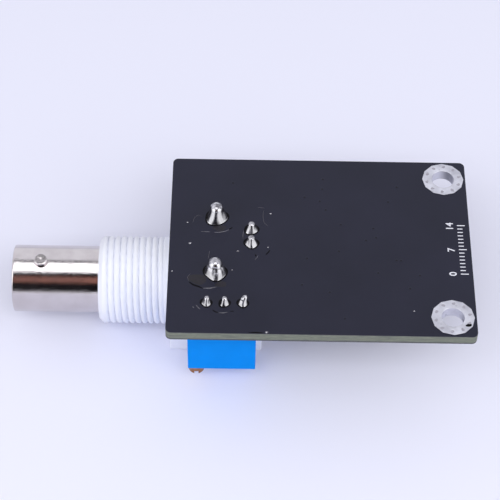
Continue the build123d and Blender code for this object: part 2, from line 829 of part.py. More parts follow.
# Wiper: a sprung ring on the wheel's back, one arm on the track and one on the collector
wiper_base_y = wheel_back_y + wiper_thickness / 2
wiper_touch_y = element_front_y - track_thickness - running_clearance - wiper_thickness / 2
wiper_rise = wiper_touch_y - wiper_base_y
with BuildPart() as trimmer_wiper:
    with BuildSketch(side_plane(wheel_x, wheel_back_y + wiper_thickness, wheel_z)):
        Circle(wiper_ring_radius)
        Circle(wheel_axle_radius + seat_clearance, mode=Mode.SUBTRACT)
    extrude(amount=wiper_thickness)
    for sense, touch_radius in ((-1, track_radius), (1, collector_radius)):
        arm_start = (wheel_axle_radius + wiper_ring_radius) / 2
        arm_toe = touch_radius - wiper_toe
        arm_rise_start = max(arm_start + wiper_toe, arm_toe - wiper_slope_run)
        arm_plane = Plane(
            origin=(wheel_x - wiper_width / 2, wiper_base_y, wheel_z),
            x_dir=(0, 0, sense),
            z_dir=(1, 0, 0),
        )
        arm_side = -sense
        with BuildSketch(arm_plane):
            with BuildLine():
                Polyline(
                    (arm_start, 0),
                    (arm_rise_start, 0),
                    (arm_toe, arm_side * wiper_rise),
                    (touch_radius + wiper_toe, arm_side * wiper_rise),
                )
            trace(line_width=wiper_thickness)
        extrude(amount=wiper_width)
save(trimmer_wiper, "trimmer_wiper")

# Trimmer pins, from the element's edge through the base and the board
for number, (pin_x, pin_y) in enumerate(trimmer_pin_places, start=1):
    with BuildPart() as trimmer_pin:
        with BuildSketch(Plane.XY.offset(pin_inner_z)):
            with Locations((pin_x, pin_y)):
                Circle(trimmer_pin_radius)
        extrude(amount=trimmer_pin_tip_height - pin_inner_z)
    save(trimmer_pin, f"trimmer_pin_{number}")

# Socket housing, open at the free edge of the board, with two key notches in its outer wall
cavity_reach = socket_length - socket_back_wall
with BuildPart() as socket_housing:
    with BuildSketch(end_plane(socket_back_x, 0, component_face)):
        Rectangle(socket_width, socket_height, align=(Align.CENTER, Align.MAX))
    extrude(amount=socket_length)
    with BuildSketch(end_plane(socket_mouth_x, 0, socket_cavity_top_z)):
        Rectangle(
            socket_width - 2 * socket_side_wall,
            socket_cavity_top_z - socket_cavity_end_z,
            align=(Align.CENTER, Align.MAX),
        )
    extrude(amount=-cavity_reach, mode=Mode.SUBTRACT)
    with BuildSketch(Plane.XY.offset(socket_outer_z)):
        with Locations((socket_mouth_x, 0)):
            with GridLocations(0, socket_width / 2, 1, 2):
                Rectangle(socket_notch_depth, socket_notch_width, align=(Align.MAX, Align.CENTER))
    extrude(amount=socket_outer_wall, mode=Mode.SUBTRACT)
    with BuildSketch(end_plane(socket_back_x, 0, socket_pin_z)):
        with GridLocations(socket_pin_pitch, 0, 3, 1):
            Rectangle(socket_pin_width + 2 * seat_clearance, socket_pin_width + 2 * seat_clearance)
    extrude(amount=socket_back_wall, mode=Mode.SUBTRACT)
save(socket_housing, "socket_housing")

# Socket pins: straight through the back wall, down to the board and out along it
pin_drop_x = socket_back_x - socket_pin_drop
pin_foot_z = component_face - socket_pin_width / 2
for number in (1, 2, 3):
    pin_y = (number - 2) * socket_pin_pitch
    with BuildPart() as socket_pin:
        with BuildLine() as pin_path:
            FilletPolyline(
                (socket_mouth_x - socket_pin_recess, pin_y, socket_pin_z),
                (pin_drop_x, pin_y, socket_pin_z),
                (pin_drop_x, pin_y, pin_foot_z),
                (pin_drop_x - socket_pin_foot, pin_y, pin_foot_z),
                radius=socket_pin_bend_radius,
            )
        with BuildSketch(end_plane(socket_mouth_x - socket_pin_recess, pin_y, socket_pin_z)):
            Rectangle(socket_pin_width, socket_pin_width)
        sweep(path=pin_path.line)
    save(socket_pin, f"socket_pin_{number}")

# Solder anchors on both sides of the socket
anchor_x = socket_mouth_x - anchor_inset - anchor_length
for side, sense in (("far", 1), ("near", -1)):
    with BuildPart() as socket_anchor:
        with BuildSketch(end_plane(anchor_x, sense * socket_width / 2, component_face)):
            with Locations((sense * anchor_thickness / 2, 0)):
                Rectangle(anchor_thickness, anchor_height, align=(Align.CENTER, Align.MAX))
            with Locations((sense * anchor_foot / 2, 0)):
                Rectangle(anchor_foot, anchor_thickness, align=(Align.CENTER, Align.MAX))
        extrude(amount=anchor_length)
    save(socket_anchor, f"socket_anchor_{side}")


# Chips with gull-wing leads
def gull_wing_chip(name, place):
    """Moulded body and the group of leads down both of its long sides."""
    x, y = on_board(place)
    body_top_z = component_face - chip_standoff
    body_end_z = body_top_z - chip_thickness
    with BuildPart() as body:
        with BuildSketch(Plane.XY.offset(body_top_z)):
            with Locations((x, y)):
                Rectangle(chip_length, chip_width)
        extrude(amount=-chip_thickness)
        chamfer(body.faces().sort_by(Axis.Z)[0].edges(), chip_edge)
        with BuildSketch(Plane.XY.offset(body_end_z)):
            with Locations((x - chip_length / 2 + chip_mark_inset, y - chip_width / 2 + chip_mark_inset)):
                Circle(chip_mark_radius)
        extrude(amount=chip_mark_depth, mode=Mode.SUBTRACT)
    save(body, f"{name}_body")

    shoulder_z = body_top_z - chip_thickness / 2
    foot_z = component_face - lead_thickness / 2
    lead_rows = (leads_per_side - 1) * lead_pitch
    with BuildPart() as leads:
        for sense in (1, -1):
            for index in range(leads_per_side):
                lead_x = x - lead_rows / 2 + index * lead_pitch - lead_width / 2
                with BuildSketch(end_plane(lead_x, y, 0)):
                    with BuildLine():
                        Polyline(
                            (sense * chip_width / 2, shoulder_z),
                            (sense * (chip_width / 2 + lead_shoulder), shoulder_z),
                            (sense * (lead_span / 2 - lead_foot), foot_z),
                            (sense * lead_span / 2, foot_z),
                        )
                    trace(line_width=lead_thickness)
                extrude(amount=lead_width)
    save(leads, f"{name}_leads")


gull_wing_chip("opamp", opamp_place)
gull_wing_chip("inverter", inverter_place)


# Capacitors, resistors and the power lamp
def chip_part(label, place, size):
    """Small rectangular part on the component face, turned about Z by the third value of its place."""
    length, width, height = size
    with BuildPart() as body:
        with BuildSketch(Plane.XY.offset(component_face)):
            with Locations(Location((*on_board(place), 0), place[2])):
                Rectangle(length, width)
        extrude(amount=-height)
        chamfer(body.faces().sort_by(Axis.Z)[0].edges(), chip_part_edge)
    return body


numbered_parts = [(place, tantalum_size) for place in tantalum_places]
numbered_parts += [(place, ceramic_size) for place in ceramic_places]
for number, (place, size) in enumerate(numbered_parts, start=1):
    capacitor = chip_part("capacitor", place, size)
    save(capacitor, f"capacitor_{number}")
for number, place in enumerate(resistor_places, start=1):
    resistor = chip_part("resistor", place, resistor_size)
    save(resistor, f"resistor_{number}")

lens_length, lens_width, lens_height = lamp_lens_size
with BuildPart() as power_lamp:
    add(chip_part("lamp", lamp_place, lamp_size).part)
    with BuildSketch(Plane.XY.offset(component_face - lamp_size[2])):
        with Locations(on_board(lamp_place)):
            Rectangle(lens_length, lens_width)
    extrude(amount=-lens_height, taper=8)
save(power_lamp, "power_lamp")
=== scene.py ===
"""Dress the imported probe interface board: smooth metal and plastic, solder, small parts and a studio."""

import logging
import math
from collections.abc import Callable, Sequence
from dataclasses import dataclass
from enum import Enum

import bmesh
import bpy
import numpy as np
from mathutils import Matrix, Vector


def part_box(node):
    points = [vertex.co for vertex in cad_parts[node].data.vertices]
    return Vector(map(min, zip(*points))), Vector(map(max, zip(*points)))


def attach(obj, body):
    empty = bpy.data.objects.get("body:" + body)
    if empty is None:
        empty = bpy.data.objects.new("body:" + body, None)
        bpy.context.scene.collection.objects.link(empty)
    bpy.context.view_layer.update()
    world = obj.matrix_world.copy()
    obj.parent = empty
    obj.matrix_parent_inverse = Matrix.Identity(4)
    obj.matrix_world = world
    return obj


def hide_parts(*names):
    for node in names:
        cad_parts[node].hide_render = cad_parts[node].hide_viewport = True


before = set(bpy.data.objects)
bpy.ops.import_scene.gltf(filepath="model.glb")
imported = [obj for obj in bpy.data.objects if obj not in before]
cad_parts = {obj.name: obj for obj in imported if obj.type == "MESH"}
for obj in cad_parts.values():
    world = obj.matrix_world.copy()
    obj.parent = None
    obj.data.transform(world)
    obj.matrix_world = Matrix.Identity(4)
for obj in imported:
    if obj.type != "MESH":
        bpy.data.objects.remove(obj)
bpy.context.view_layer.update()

MM = 0.001
BOARD = "board"
Point = tuple[float, float, float]
Colour = tuple[float, float, float]
Grids = tuple[np.ndarray, np.ndarray, np.ndarray]
Finish = bpy.types.Material


def srgb(red: int, green: int, blue: int) -> Colour:
    """Turn a colour written from 0 to 255 into the linear numbers that shaders take.

    Args:
        red: Red part, from 0 to 255.
        green: Green part, from 0 to 255.
        blue: Blue part, from 0 to 255.

    Returns:
        The three linear parts, from 0 to 1.
    """
    parts = np.array([red, green, blue]) / 255
    linear = np.where(parts <= 0.04045, parts / 12.92, ((parts + 0.055) / 1.055) ** 2.4)
    return tuple(float(part) for part in linear)


# ---- Surfaces


@dataclass(frozen=True)
class Patch:
    """One surface: its points in millimetres and its faces as rows of point numbers."""

    points: np.ndarray
    faces: np.ndarray

    def moved(self, offset: Sequence[float]) -> "Patch":
        """Return the same surface, shifted by offset."""
        return Patch(self.points + np.asarray(offset, float), self.faces)


def joined(patches: Sequence[Patch]) -> Patch:
    """Put several surfaces into one list of points and one list of faces.

    Args:
        patches: The surfaces.

    Returns:
        All of them as one.
    """
    counts = np.cumsum([0] + [len(patch.points) for patch in patches[:-1]])
    return Patch(
        np.vstack([patch.points for patch in patches]),
        np.vstack([patch.faces + count for patch, count in zip(patches, counts)]),
    )


def grid_faces(rows: int, columns: int, wrap_rows: bool, wrap_columns: bool) -> np.ndarray:
    """Number the quads of a grid of points that are stored row by row.

    Args:
        rows: How many rows of points there are.
        columns: How many points each row has.
        wrap_rows: Whether the last row joins the first.
        wrap_columns: Whether each row's last point joins its first.

    Returns:
        One row of four point numbers for each quad.
    """
    row = np.arange(rows if wrap_rows else rows - 1)[:, None]
    column = np.arange(columns if wrap_columns else columns - 1)[None, :]
    next_row, next_column = (row + 1) % rows, (column + 1) % columns
    corners = [
        row * columns + column,
        row * columns + next_column,
        next_row * columns + next_column,
        next_row * columns + column,
    ]
    return np.stack(corners, axis=-1).reshape(-1, 4)


def surface(
    shape: Callable[[np.ndarray, np.ndarray], Grids],
    u_count: int,
    v_count: int,
    wrap_u: bool = True,
    wrap_v: bool = False,
) -> Patch:
    """Work out a shape of two parameters, u and v, both from 0 to 1, on a grid.

    Args:
        shape: Gives x, y and z in millimetres for whole arrays of u and v.
        u_count: Points along u.
        v_count: Points along v.
        wrap_u: Whether u = 1 is the same place as u = 0.
        wrap_v: Whether v = 1 is the same place as v = 0.

    Returns:
        The surface.
    """
    u = np.arange(u_count) / (u_count if wrap_u else u_count - 1)
    v = np.arange(v_count) / (v_count if wrap_v else v_count - 1)
    u_grid, v_grid = np.meshgrid(u, v)
    points = np.stack(np.broadcast_arrays(*shape(u_grid, v_grid)), axis=-1).reshape(-1, 3)
    return Patch(points, grid_faces(v_count, u_count, wrap_v, wrap_u))


def rounded_profile(corners: Sequence[tuple[float, float]], radius: float, steps: int = 5) -> np.ndarray:
    """Round the corners of a closed outline.

    Each corner becomes points of the curve (1-t)^2 A + 2t(1-t) B + t^2 C, with B the corner and A and
    C the points on its two sides at the rounding radius, or at half the side where that is shorter.

    Args:
        corners: The outline's corners in order, in two coordinates.
        radius: How far each rounding reaches along its sides.
        steps: Points on each rounding.

    Returns:
        The rounded outline, one point a row.
    """
    corner = np.asarray(corners, float)
    before, after = np.roll(corner, 1, axis=0), np.roll(corner, -1, axis=0)
    reach_back = np.linalg.norm(before - corner, axis=1)
    reach_on = np.linalg.norm(after - corner, axis=1)
    start = corner + (before - corner) * (np.minimum(radius, reach_back / 2) / reach_back)[:, None]
    end = corner + (after - corner) * (np.minimum(radius, reach_on / 2) / reach_on)[:, None]
    t = np.linspace(0, 1, steps)[None, :, None]
    curve = (1 - t) ** 2 * start[:, None] + 2 * t * (1 - t) * corner[:, None] + t**2 * end[:, None]
    return curve.reshape(-1, 2)


def smooth_curve(knots: Sequence[tuple[float, float]], count: int) -> np.ndarray:
    """Run a Catmull-Rom curve through points: each span is a cubic whose end slopes follow its neighbours.

    Args:
        knots: The points, in two coordinates.
        count: How many points the curve gets.

    Returns:
        The curve, one point a row.
    """
    knot = np.asarray(knots, float)
    padded = np.vstack([2 * knot[0] - knot[1], knot, 2 * knot[-1] - knot[-2]])
    place = np.linspace(0, len(knot) - 1, count)
    span = np.minimum(place.astype(int), len(knot) - 2)
    t = (place - span)[:, None]
    a, b, c, d = (padded[span + k] for k in range(4))
    return b + 0.5 * t * (c - a + t * (2 * a - 5 * b + 4 * c - d + t * (3 * (b - c) + d - a)))


def waves(terms: Sequence[Point], angle: np.ndarray) -> np.ndarray:
    """Add up size * sin(times * angle + phase) over terms of times, size and phase."""
    return sum((size * np.sin(times * angle + phase) for times, size, phase in terms), 0 * angle)


def lathe(profile: np.ndarray, centre: Point, axis: Point, sides: int, closed: bool = True) -> Patch:
    """Carry a profile round an axis: centre + along * axis + radius * (cos a * side + sin a * up).

    Args:
        profile: Rows of distance along the axis and radius.
        centre: A point on the axis.
        axis: The axis's direction.
        sides: Points round the axis.
        closed: Whether the profile's last point joins its first.

    Returns:
        The turned surface.
    """
    along = Vector(axis).normalized()
    side = along.orthogonal().normalized()
    up = along.cross(side)
    angle = 2 * np.pi * np.arange(sides) / sides
    ring = np.cos(angle)[:, None] * np.array(side) + np.sin(angle)[:, None] * np.array(up)
    points = (
        np.array(centre)
        + profile[:, None, :1] * np.array(along)
        + profile[:, None, 1:] * ring[None, :, :]
    )
    return Patch(points.reshape(-1, 3), grid_faces(len(profile), sides, closed, True))


def rounded_box(low: Point, high: Point, radius: float, steps: int = 3) -> Patch:
    """Make a box with round edges: a ball of the edge radius, its eight octants pulled to the corners.

    Args:
        low: Lowest corner.
        high: Highest corner.
        radius: Radius of the edges.
        steps: Spans on each quarter turn.

    Returns:
        The closed surface.
    """
    middle = (np.array(low) + np.array(high)) / 2
    half = (np.array(high) - np.array(low)) / 2 - radius
    quarter = np.arange(steps + 1) / steps * math.pi / 2
    turn = (np.arange(4)[:, None] * math.pi / 2 + quarter).ravel()
    sign_x = np.repeat([1, -1, -1, 1], steps + 1)
    sign_y = np.repeat([1, 1, -1, -1], steps + 1)
    rise = np.concatenate([quarter - math.pi / 2, quarter])[:, None]
    sign_z = np.repeat([-1, 1], steps + 1)[:, None]
    x = sign_x * half[0] + radius * np.cos(rise) * np.cos(turn)
    y = sign_y * half[1] + radius * np.cos(rise) * np.sin(turn)
    z = sign_z * half[2] + radius * np.sin(rise) + 0 * turn
    points = np.stack([x, y, z], axis=-1).reshape(-1, 3) + middle
    rows, columns = 2 * (steps + 1), 4 * (steps + 1)
    faces = grid_faces(rows, columns, False, True)
    caps = np.arange(4) * (steps + 1)
    return Patch(points, np.vstack([faces, caps[::-1], caps + (rows - 1) * columns]))


def ribbon(
    path: Sequence[tuple[float, float]], width: float, height: float, level: float, count: int = 25
) -> Patch:
    """Lay a lens-shaped bead along a path on the board: height * (1 - s^2) at s, from -1 to 1, across it.

    Args:
        path: Points of the path, in x and y.
        width: Width at the middle, which falls to nothing at both ends.
        height: Height of the bead's middle line.
        level: Z of the surface it lies on.
        count: Points along the bead.

    Returns:
        The closed bead.
    """
    corner = np.asarray(path, float)
    reach = np.concatenate([[0], np.cumsum(np.linalg.norm(np.diff(corner, axis=0), axis=1))])
    coarse = np.linspace(0, reach[-1], count)
    line = np.stack([np.interp(coarse, reach, corner[:, k]) for k in (0, 1)], axis=-1)
    kernel = np.array([1, 2, 1]) / 4
    for _ in range(3):
        line[1:-1] = sum(kernel[k] * line[k : len(line) - 2 + k] for k in range(3))
    tangent = np.gradient(line, axis=0)
    tangent /= np.linalg.norm(tangent, axis=1)[:, None]
    normal = np.stack([-tangent[:, 1], tangent[:, 0]], axis=-1)
    swell = np.sin(np.linspace(0.02, np.pi - 0.02, len(line))) ** 0.5
    across = np.concatenate([np.linspace(-1, 1, 5), np.linspace(1, -1, 5)[1:-1]])
    lift = np.concatenate([1 - np.linspace(-1, 1, 5) ** 2, np.full(3, -0.2)])
    x = line[:, None, 0] + normal[:, None, 0] * across * swell[:, None] * width / 2
    y = line[:, None, 1] + normal[:, None, 1] * across * swell[:, None] * width / 2
    z = level + height * lift * swell[:, None]
    points = np.stack([x, y, z], axis=-1).reshape(-1, 3)
    return Patch(points, grid_faces(len(line), len(across), False, True))


class Flatness(Enum):
    """How a piece's faces are shaded: the angle in degrees past which an edge stays sharp."""

    SOFT = 60.0
    CRISP = 35.0


def make_piece(
    name: str,
    patches: Sequence[Patch],
    finishes: Finish | Sequence[Finish],
    body: str = BOARD,
    flatness: Flatness = Flatness.CRISP,
) -> bpy.types.Object:
    """Put surfaces into one object, give it its finishes, and let it ride on a body.

    Args:
        name: Name of the object.
        patches: The surfaces, in millimetres.
        finishes: One finish for all surfaces, or one for each, in the same order.
        body: The body it rides on.
        flatness: How its faces are shaded.

    Returns:
        The new object, at the origin.
    """
    whole = joined(patches)
    mesh = bpy.data.meshes.new(name)
    mesh.from_pydata((whole.points * MM).tolist(), [], whole.faces.tolist())
    each = [finishes] * len(patches) if isinstance(finishes, Finish) else finishes
    unique = list(dict.fromkeys(each))
    for finish in unique:
        mesh.materials.append(finish)
    numbers = np.repeat([unique.index(finish) for finish in each], [len(patch.faces) for patch in patches])
    mesh.polygons.foreach_set("material_index", numbers.astype(np.int32))
    work = bmesh.new()
    work.from_mesh(mesh)
    bmesh.ops.remove_doubles(work, verts=work.verts, dist=1e-7)
    bmesh.ops.recalc_face_normals(work, faces=work.faces)
    work.to_mesh(mesh)
    work.free()
    mesh.shade_smooth()
    mesh.set_sharp_from_angle(angle=math.radians(flatness.value))
    piece = bpy.data.objects.new(name, mesh)
    bpy.context.scene.collection.objects.link(piece)
    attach(piece, body)
    logging.info("%s: %d faces on %s", name, len(mesh.polygons), body)
    return piece


# ---- Finishes


class Effect(Enum):
    """The shared shader effects, each one node group."""

    GRAIN = "grain"
    MOTTLE = "mottle"
    SPECKS = "specks"


class Nodes:
    """A node tree, and short ways to add nodes to it."""

    def __init__(self, tree: bpy.types.NodeTree) -> None:
        """Work on the tree."""
        self.tree = tree

    def feed(self, socket: bpy.types.NodeSocket, value) -> None:
        """Link an output to a socket, or set the socket's own value.

        Args:
            socket: The input.
            value: An output socket, a colour of three numbers, or the socket's own kind of value.
        """
        if isinstance(value, bpy.types.NodeSocket):
            self.tree.links.new(value, socket)
        elif isinstance(value, tuple) and len(value) == 3 and socket.type == "RGBA":
            socket.default_value = (*value, 1.0)
        else:
            socket.default_value = value

    def node(self, kind: str, inputs: dict | None = None, **settings) -> bpy.types.Node:
        """Add a node, set its properties, and set or link its inputs.

        Args:
            kind: Blender's name of the node type, without ShaderNode.
            inputs: Values or output sockets for the inputs, by name or number.
            **settings: Properties of the node, such as operation.

        Returns:
            The node.
        """
        node = self.tree.nodes.new("ShaderNode" + kind)
        for key, value in settings.items():
            setattr(node, key, value)
        for key, value in (inputs or {}).items():
            self.feed(node.inputs[key], value)
        return node

    def math(self, operation: str, *values) -> bpy.types.NodeSocket:
        """Add a Math node and return its result."""
        return self.node("Math", dict(enumerate(values)), operation=operation).outputs[0]

    def spread(self, value, low: float, high: float, to_low: float, to_high: float) -> bpy.types.NodeSocket:
        """Map a value from one range to another, held at its ends, and return the result."""
        inputs = {"Value": value, "From Min": low, "From Max": high, "To Min": to_low, "To Max": to_high}
        return self.node("MapRange", inputs).outputs["Result"]

    def mix(self, factor, first, second) -> bpy.types.NodeSocket:
        """Mix two colours and return the result."""
        return self.node("Mix", {"Factor": factor, 6: first, 7: second}, data_type="RGBA").outputs[2]

    def blend(self, factor, first, second) -> bpy.types.NodeSocket:
        """Mix two values and return the result."""
        return self.node("Mix", {"Factor": factor, "A": first, "B": second}).outputs["Result"]

    def axis(self, vector, name: str) -> bpy.types.NodeSocket:
        """Return one coordinate of a vector."""
        return self.node("SeparateXYZ", {"Vector": vector}).outputs[name]


class Group(Nodes):
    """The node group of a shared effect, with its named sockets."""

    def __init__(self, effect: Effect, inputs: dict[str, str], outputs: dict[str, str]) -> None:
        """Make the group's tree and its sockets.

        Args:
            effect: The effect it stands for.
            inputs: The type of each input, without NodeSocket.
            outputs: The type of each output, without NodeSocket.
        """
        super().__init__(bpy.data.node_groups.new(effect.value, "ShaderNodeTree"))
        for way, sockets in (("INPUT", inputs), ("OUTPUT", outputs)):
            for name, kind in sockets.items():
                self.tree.interface.new_socket(name, in_out=way, socket_type="NodeSocket" + kind)
        self.given = self.tree.nodes.new("NodeGroupInput").outputs
        self.result = self.tree.nodes.new("NodeGroupOutput").inputs

    def texture(self, kind: str, scale, **inputs) -> bpy.types.Node:
        """Add a texture that reads the group's Place."""
        return self.node(kind, {"Vector": self.given["Place"], "Scale": scale, **inputs})


def grain_group() -> bpy.types.NodeTree:
    """Fine height for a surface: noise at one scale plus a share of noise at four times that scale."""
    inputs = {"Place": "Vector", "Scale": "Float", "Fine Share": "Float"}
    group = Group(Effect.GRAIN, inputs, {"Height": "Float"})
    scale = group.given["Scale"]
    coarse = group.texture("TexNoise", scale, Detail=3.0).outputs["Fac"]
    fine = group.texture("TexNoise", group.math("MULTIPLY", scale, 4.0)).outputs["Fac"]
    height = group.math("MULTIPLY_ADD", fine, group.given["Fine Share"], coarse)
    group.feed(group.result["Height"], height)
    return group.tree


def mottle_group() -> bpy.types.NodeTree:
    """Slow variation between two colours, and the mask that drives it."""
    inputs = {"Place": "Vector", "Scale": "Float", "First": "Color", "Second": "Color"}
    group = Group(Effect.MOTTLE, inputs, {"Colour": "Color", "Mask": "Float"})
    noise = group.texture("TexNoise", group.given["Scale"], Detail=4.0)
    mask = group.spread(noise.outputs["Fac"], 0.35, 0.65, 0.0, 1.0)
    group.feed(group.result["Colour"], group.mix(mask, group.given["First"], group.given["Second"]))
    group.feed(group.result["Mask"], mask)
    return group.tree


def specks_group() -> bpy.types.NodeTree:
    """Scattered small dots: 1 where the nearest cell centre is closer than Size, else 0."""
    group = Group(Effect.SPECKS, {"Place": "Vector", "Scale": "Float", "Size": "Float"}, {"Mask": "Float"})
    cells = group.texture("TexVoronoi", group.given["Scale"])
    group.feed(group.result["Mask"], group.math("LESS_THAN", cells.outputs["Distance"], group.given["Size"]))
    return group.tree


GROUPS = {Effect.GRAIN: grain_group(), Effect.MOTTLE: mottle_group(), Effect.SPECKS: specks_group()}


class Shader(Nodes):
    """A material with its Principled shader, and ways to reach its sockets."""

    def __init__(self, name: str) -> None:
        """Make an empty material that reads Object coordinates."""
        self.material = bpy.data.materials.new(name)
        self.material.use_nodes = True
        super().__init__(self.material.node_tree)
        self.principled = self.tree.nodes["Principled BSDF"]
        coordinates = self.node("TexCoord")
        self.place = coordinates.outputs["Object"]
        self.normal = coordinates.outputs["Normal"]

    def effect(self, effect: Effect, **inputs) -> bpy.types.NodeOutputs:
        """Place one of the shared groups, fed with Object coordinates unless Place is given.

        Args:
            effect: The effect.
            **inputs: Values of its inputs; an underscore stands for a space.

        Returns:
            The group's outputs.
        """
        node = self.node("Group", node_tree=GROUPS[effect])
        for key, value in ({"Place": self.place} | inputs).items():
            self.feed(node.inputs[key.replace("_", " ")], value)
        return node.outputs

    def stretched(self, scale: Point) -> bpy.types.NodeSocket:
        """Object coordinates, scaled by a different number along each axis."""
        return self.node("Mapping", {"Vector": self.place, "Scale": scale}).outputs[0]

    def bump(self, height, depth: float) -> None:
        """Feed a height, with its depth in millimetres, through a Bump node into the normal."""
        node = self.node("Bump", {"Height": height, "Distance": depth * MM, "Strength": 1.0})
        self.feed(self.principled.inputs["Normal"], node.outputs["Normal"])

    def set(self, **values) -> None:
        """Set or link the Principled shader's sockets; an underscore stands for a space."""
        for key, value in values.items():
            self.feed(self.principled.inputs[key.replace("_", " ")], value)


@dataclass(frozen=True)
class Moulded:
    """Moulded plastic, rubber, ceramic or resin: one colour with a slow change, and a fine grain."""

    name: str
    colour: Colour
    change: float = 0.9
    roughness: float = 0.45
    grain_scale: float = 4000.0
    grain_depth: float = 0.006
    mottle_scale: float = 260.0
    coat: float = 0.0
    gloss: float = 0.5

    def build(self) -> Finish:
        """Return the finish as a material."""
        shader = Shader(self.name)
        second = tuple(part * self.change for part in self.colour)
        mottle = shader.effect(Effect.MOTTLE, Scale=self.mottle_scale, First=self.colour, Second=second)
        height = shader.effect(Effect.GRAIN, Scale=self.grain_scale, Fine_Share=0.5)["Height"]
        rough = shader.spread(height, 0.3, 1.2, self.roughness - 0.05, self.roughness + 0.08)
        shader.set(
            Base_Color=mottle["Colour"], Roughness=rough, Coat_Weight=self.coat, Specular_IOR_Level=self.gloss
        )
        shader.bump(height, self.grain_depth)
        return shader.material


@dataclass(frozen=True)
class Metal:
    """Bare or plated metal: two tones, scattered dull specks and a drawn or rippled surface."""

    name: str
    colour: Colour
    tarnish: Colour
    roughness: float = 0.2
    ripple_scale: float = 1500.0
    ripple_depth: float = 0.004
    stretch: Point = (1.0, 1.0, 1.0)
    speck_size: float = 0.08
    mottle_scale: float = 400.0
    speck_scale: float = 900.0

    def build(self) -> Finish:
        """Return the finish as a material."""
        shader = Shader(self.name)
        place = shader.stretched(self.stretch)
        mottle = shader.effect(Effect.MOTTLE, Scale=self.mottle_scale, First=self.colour, Second=self.tarnish)
        specks = shader.effect(Effect.SPECKS, Scale=self.speck_scale, Size=self.speck_size)["Mask"]
        ripple = shader.effect(Effect.GRAIN, Place=place, Scale=self.ripple_scale, Fine_Share=0.4)
        rough = shader.spread(mottle["Mask"], 0.0, 1.0, self.roughness, self.roughness + 0.1)
        rough = shader.math("MULTIPLY_ADD", specks, 0.12, rough)
        colour = shader.mix(specks, mottle["Colour"], self.tarnish)
        shader.set(Base_Color=colour, Roughness=rough, Metallic=1.0)
        shader.bump(ripple["Height"], self.ripple_depth)
        return shader.material


@dataclass(frozen=True)
class Solder:
    """Wet solder: dark metal, whose flanks to the left and right of each joint's front are painted pale as a
    painted highlight, with a painted dark reflection where the surface faces away.

    The ranges are of the normal's parts: where its sideways part starts and stops to show the painted
    highlight, how far it must point to the front for one, and where it points away or up, which bounds the
    painted dark reflection.
    """

    name: str = "solder"
    colour: Colour = (0.62, 0.61, 0.64)
    # The pale colour of the painted highlight; shade is the metal's second tone and also the colour of its
    # painted dark reflection.
    painted_highlight: Colour = (0.93, 0.93, 0.96)
    shade: Colour = (0.16, 0.155, 0.17)
    roughness: float = 0.16
    painted_highlight_start: tuple[float, float] = (0.16, 0.4)
    painted_highlight_stop: tuple[float, float] = (0.7, 0.86)
    front: tuple[float, float] = (-0.5, -0.3)
    away: tuple[float, float] = (-0.3, 0.1)
    top: tuple[float, float] = (0.5, 0.75)

    def build(self) -> Finish:
        """Return the finish: a pale painted highlight where the normal points partly sideways, a painted dark
        reflection where it points away.
        """
        shader = Shader(self.name)
        normal = shader.node("SeparateXYZ", {"Vector": shader.normal}).outputs
        # Painted highlight mask: the normal turned partly sideways and towards the front.
        side = shader.math("ABSOLUTE", normal["X"])
        starts = shader.spread(side, *self.painted_highlight_start, 0.0, 1.0)
        painted_highlight = shader.math("MULTIPLY", starts, shader.spread(side, *self.painted_highlight_stop, 1.0, 0.0))
        painted_highlight = shader.math("MULTIPLY", painted_highlight, shader.spread(normal["Y"], *self.front, 1.0, 0.0))
        # Painted dark reflection mask: the normal turned away from the front and not up.
        away = shader.spread(normal["Y"], *self.away, 0.0, 1.0)
        away = shader.math("MULTIPLY", away, shader.spread(normal["Z"], *self.top, 1.0, 0.0))
        tone = shader.effect(Effect.MOTTLE, Scale=1500.0, First=self.colour, Second=self.shade)
        drawn = shader.stretched((1.0, 1.0, 0.3))
        streak = shader.effect(Effect.GRAIN, Place=drawn, Scale=2600.0, Fine_Share=0.5)
        # The metal's own tone, darkened to shade's colour as a painted dark reflection.
        metal = shader.mix(away, tone["Colour"], self.shade)
        shader.set(
            Base_Color=shader.mix(painted_highlight, metal, self.painted_highlight),
            Roughness=self.roughness,
            # Where the painted highlight shows, the surface is made nearly non-metallic, so its pale colour
            # reads as a highlight.
            Metallic=shader.spread(painted_highlight, 0.0, 1.0, 0.95, 0.1),
        )
        shader.bump(streak["Height"], 0.02)
        return shader.material


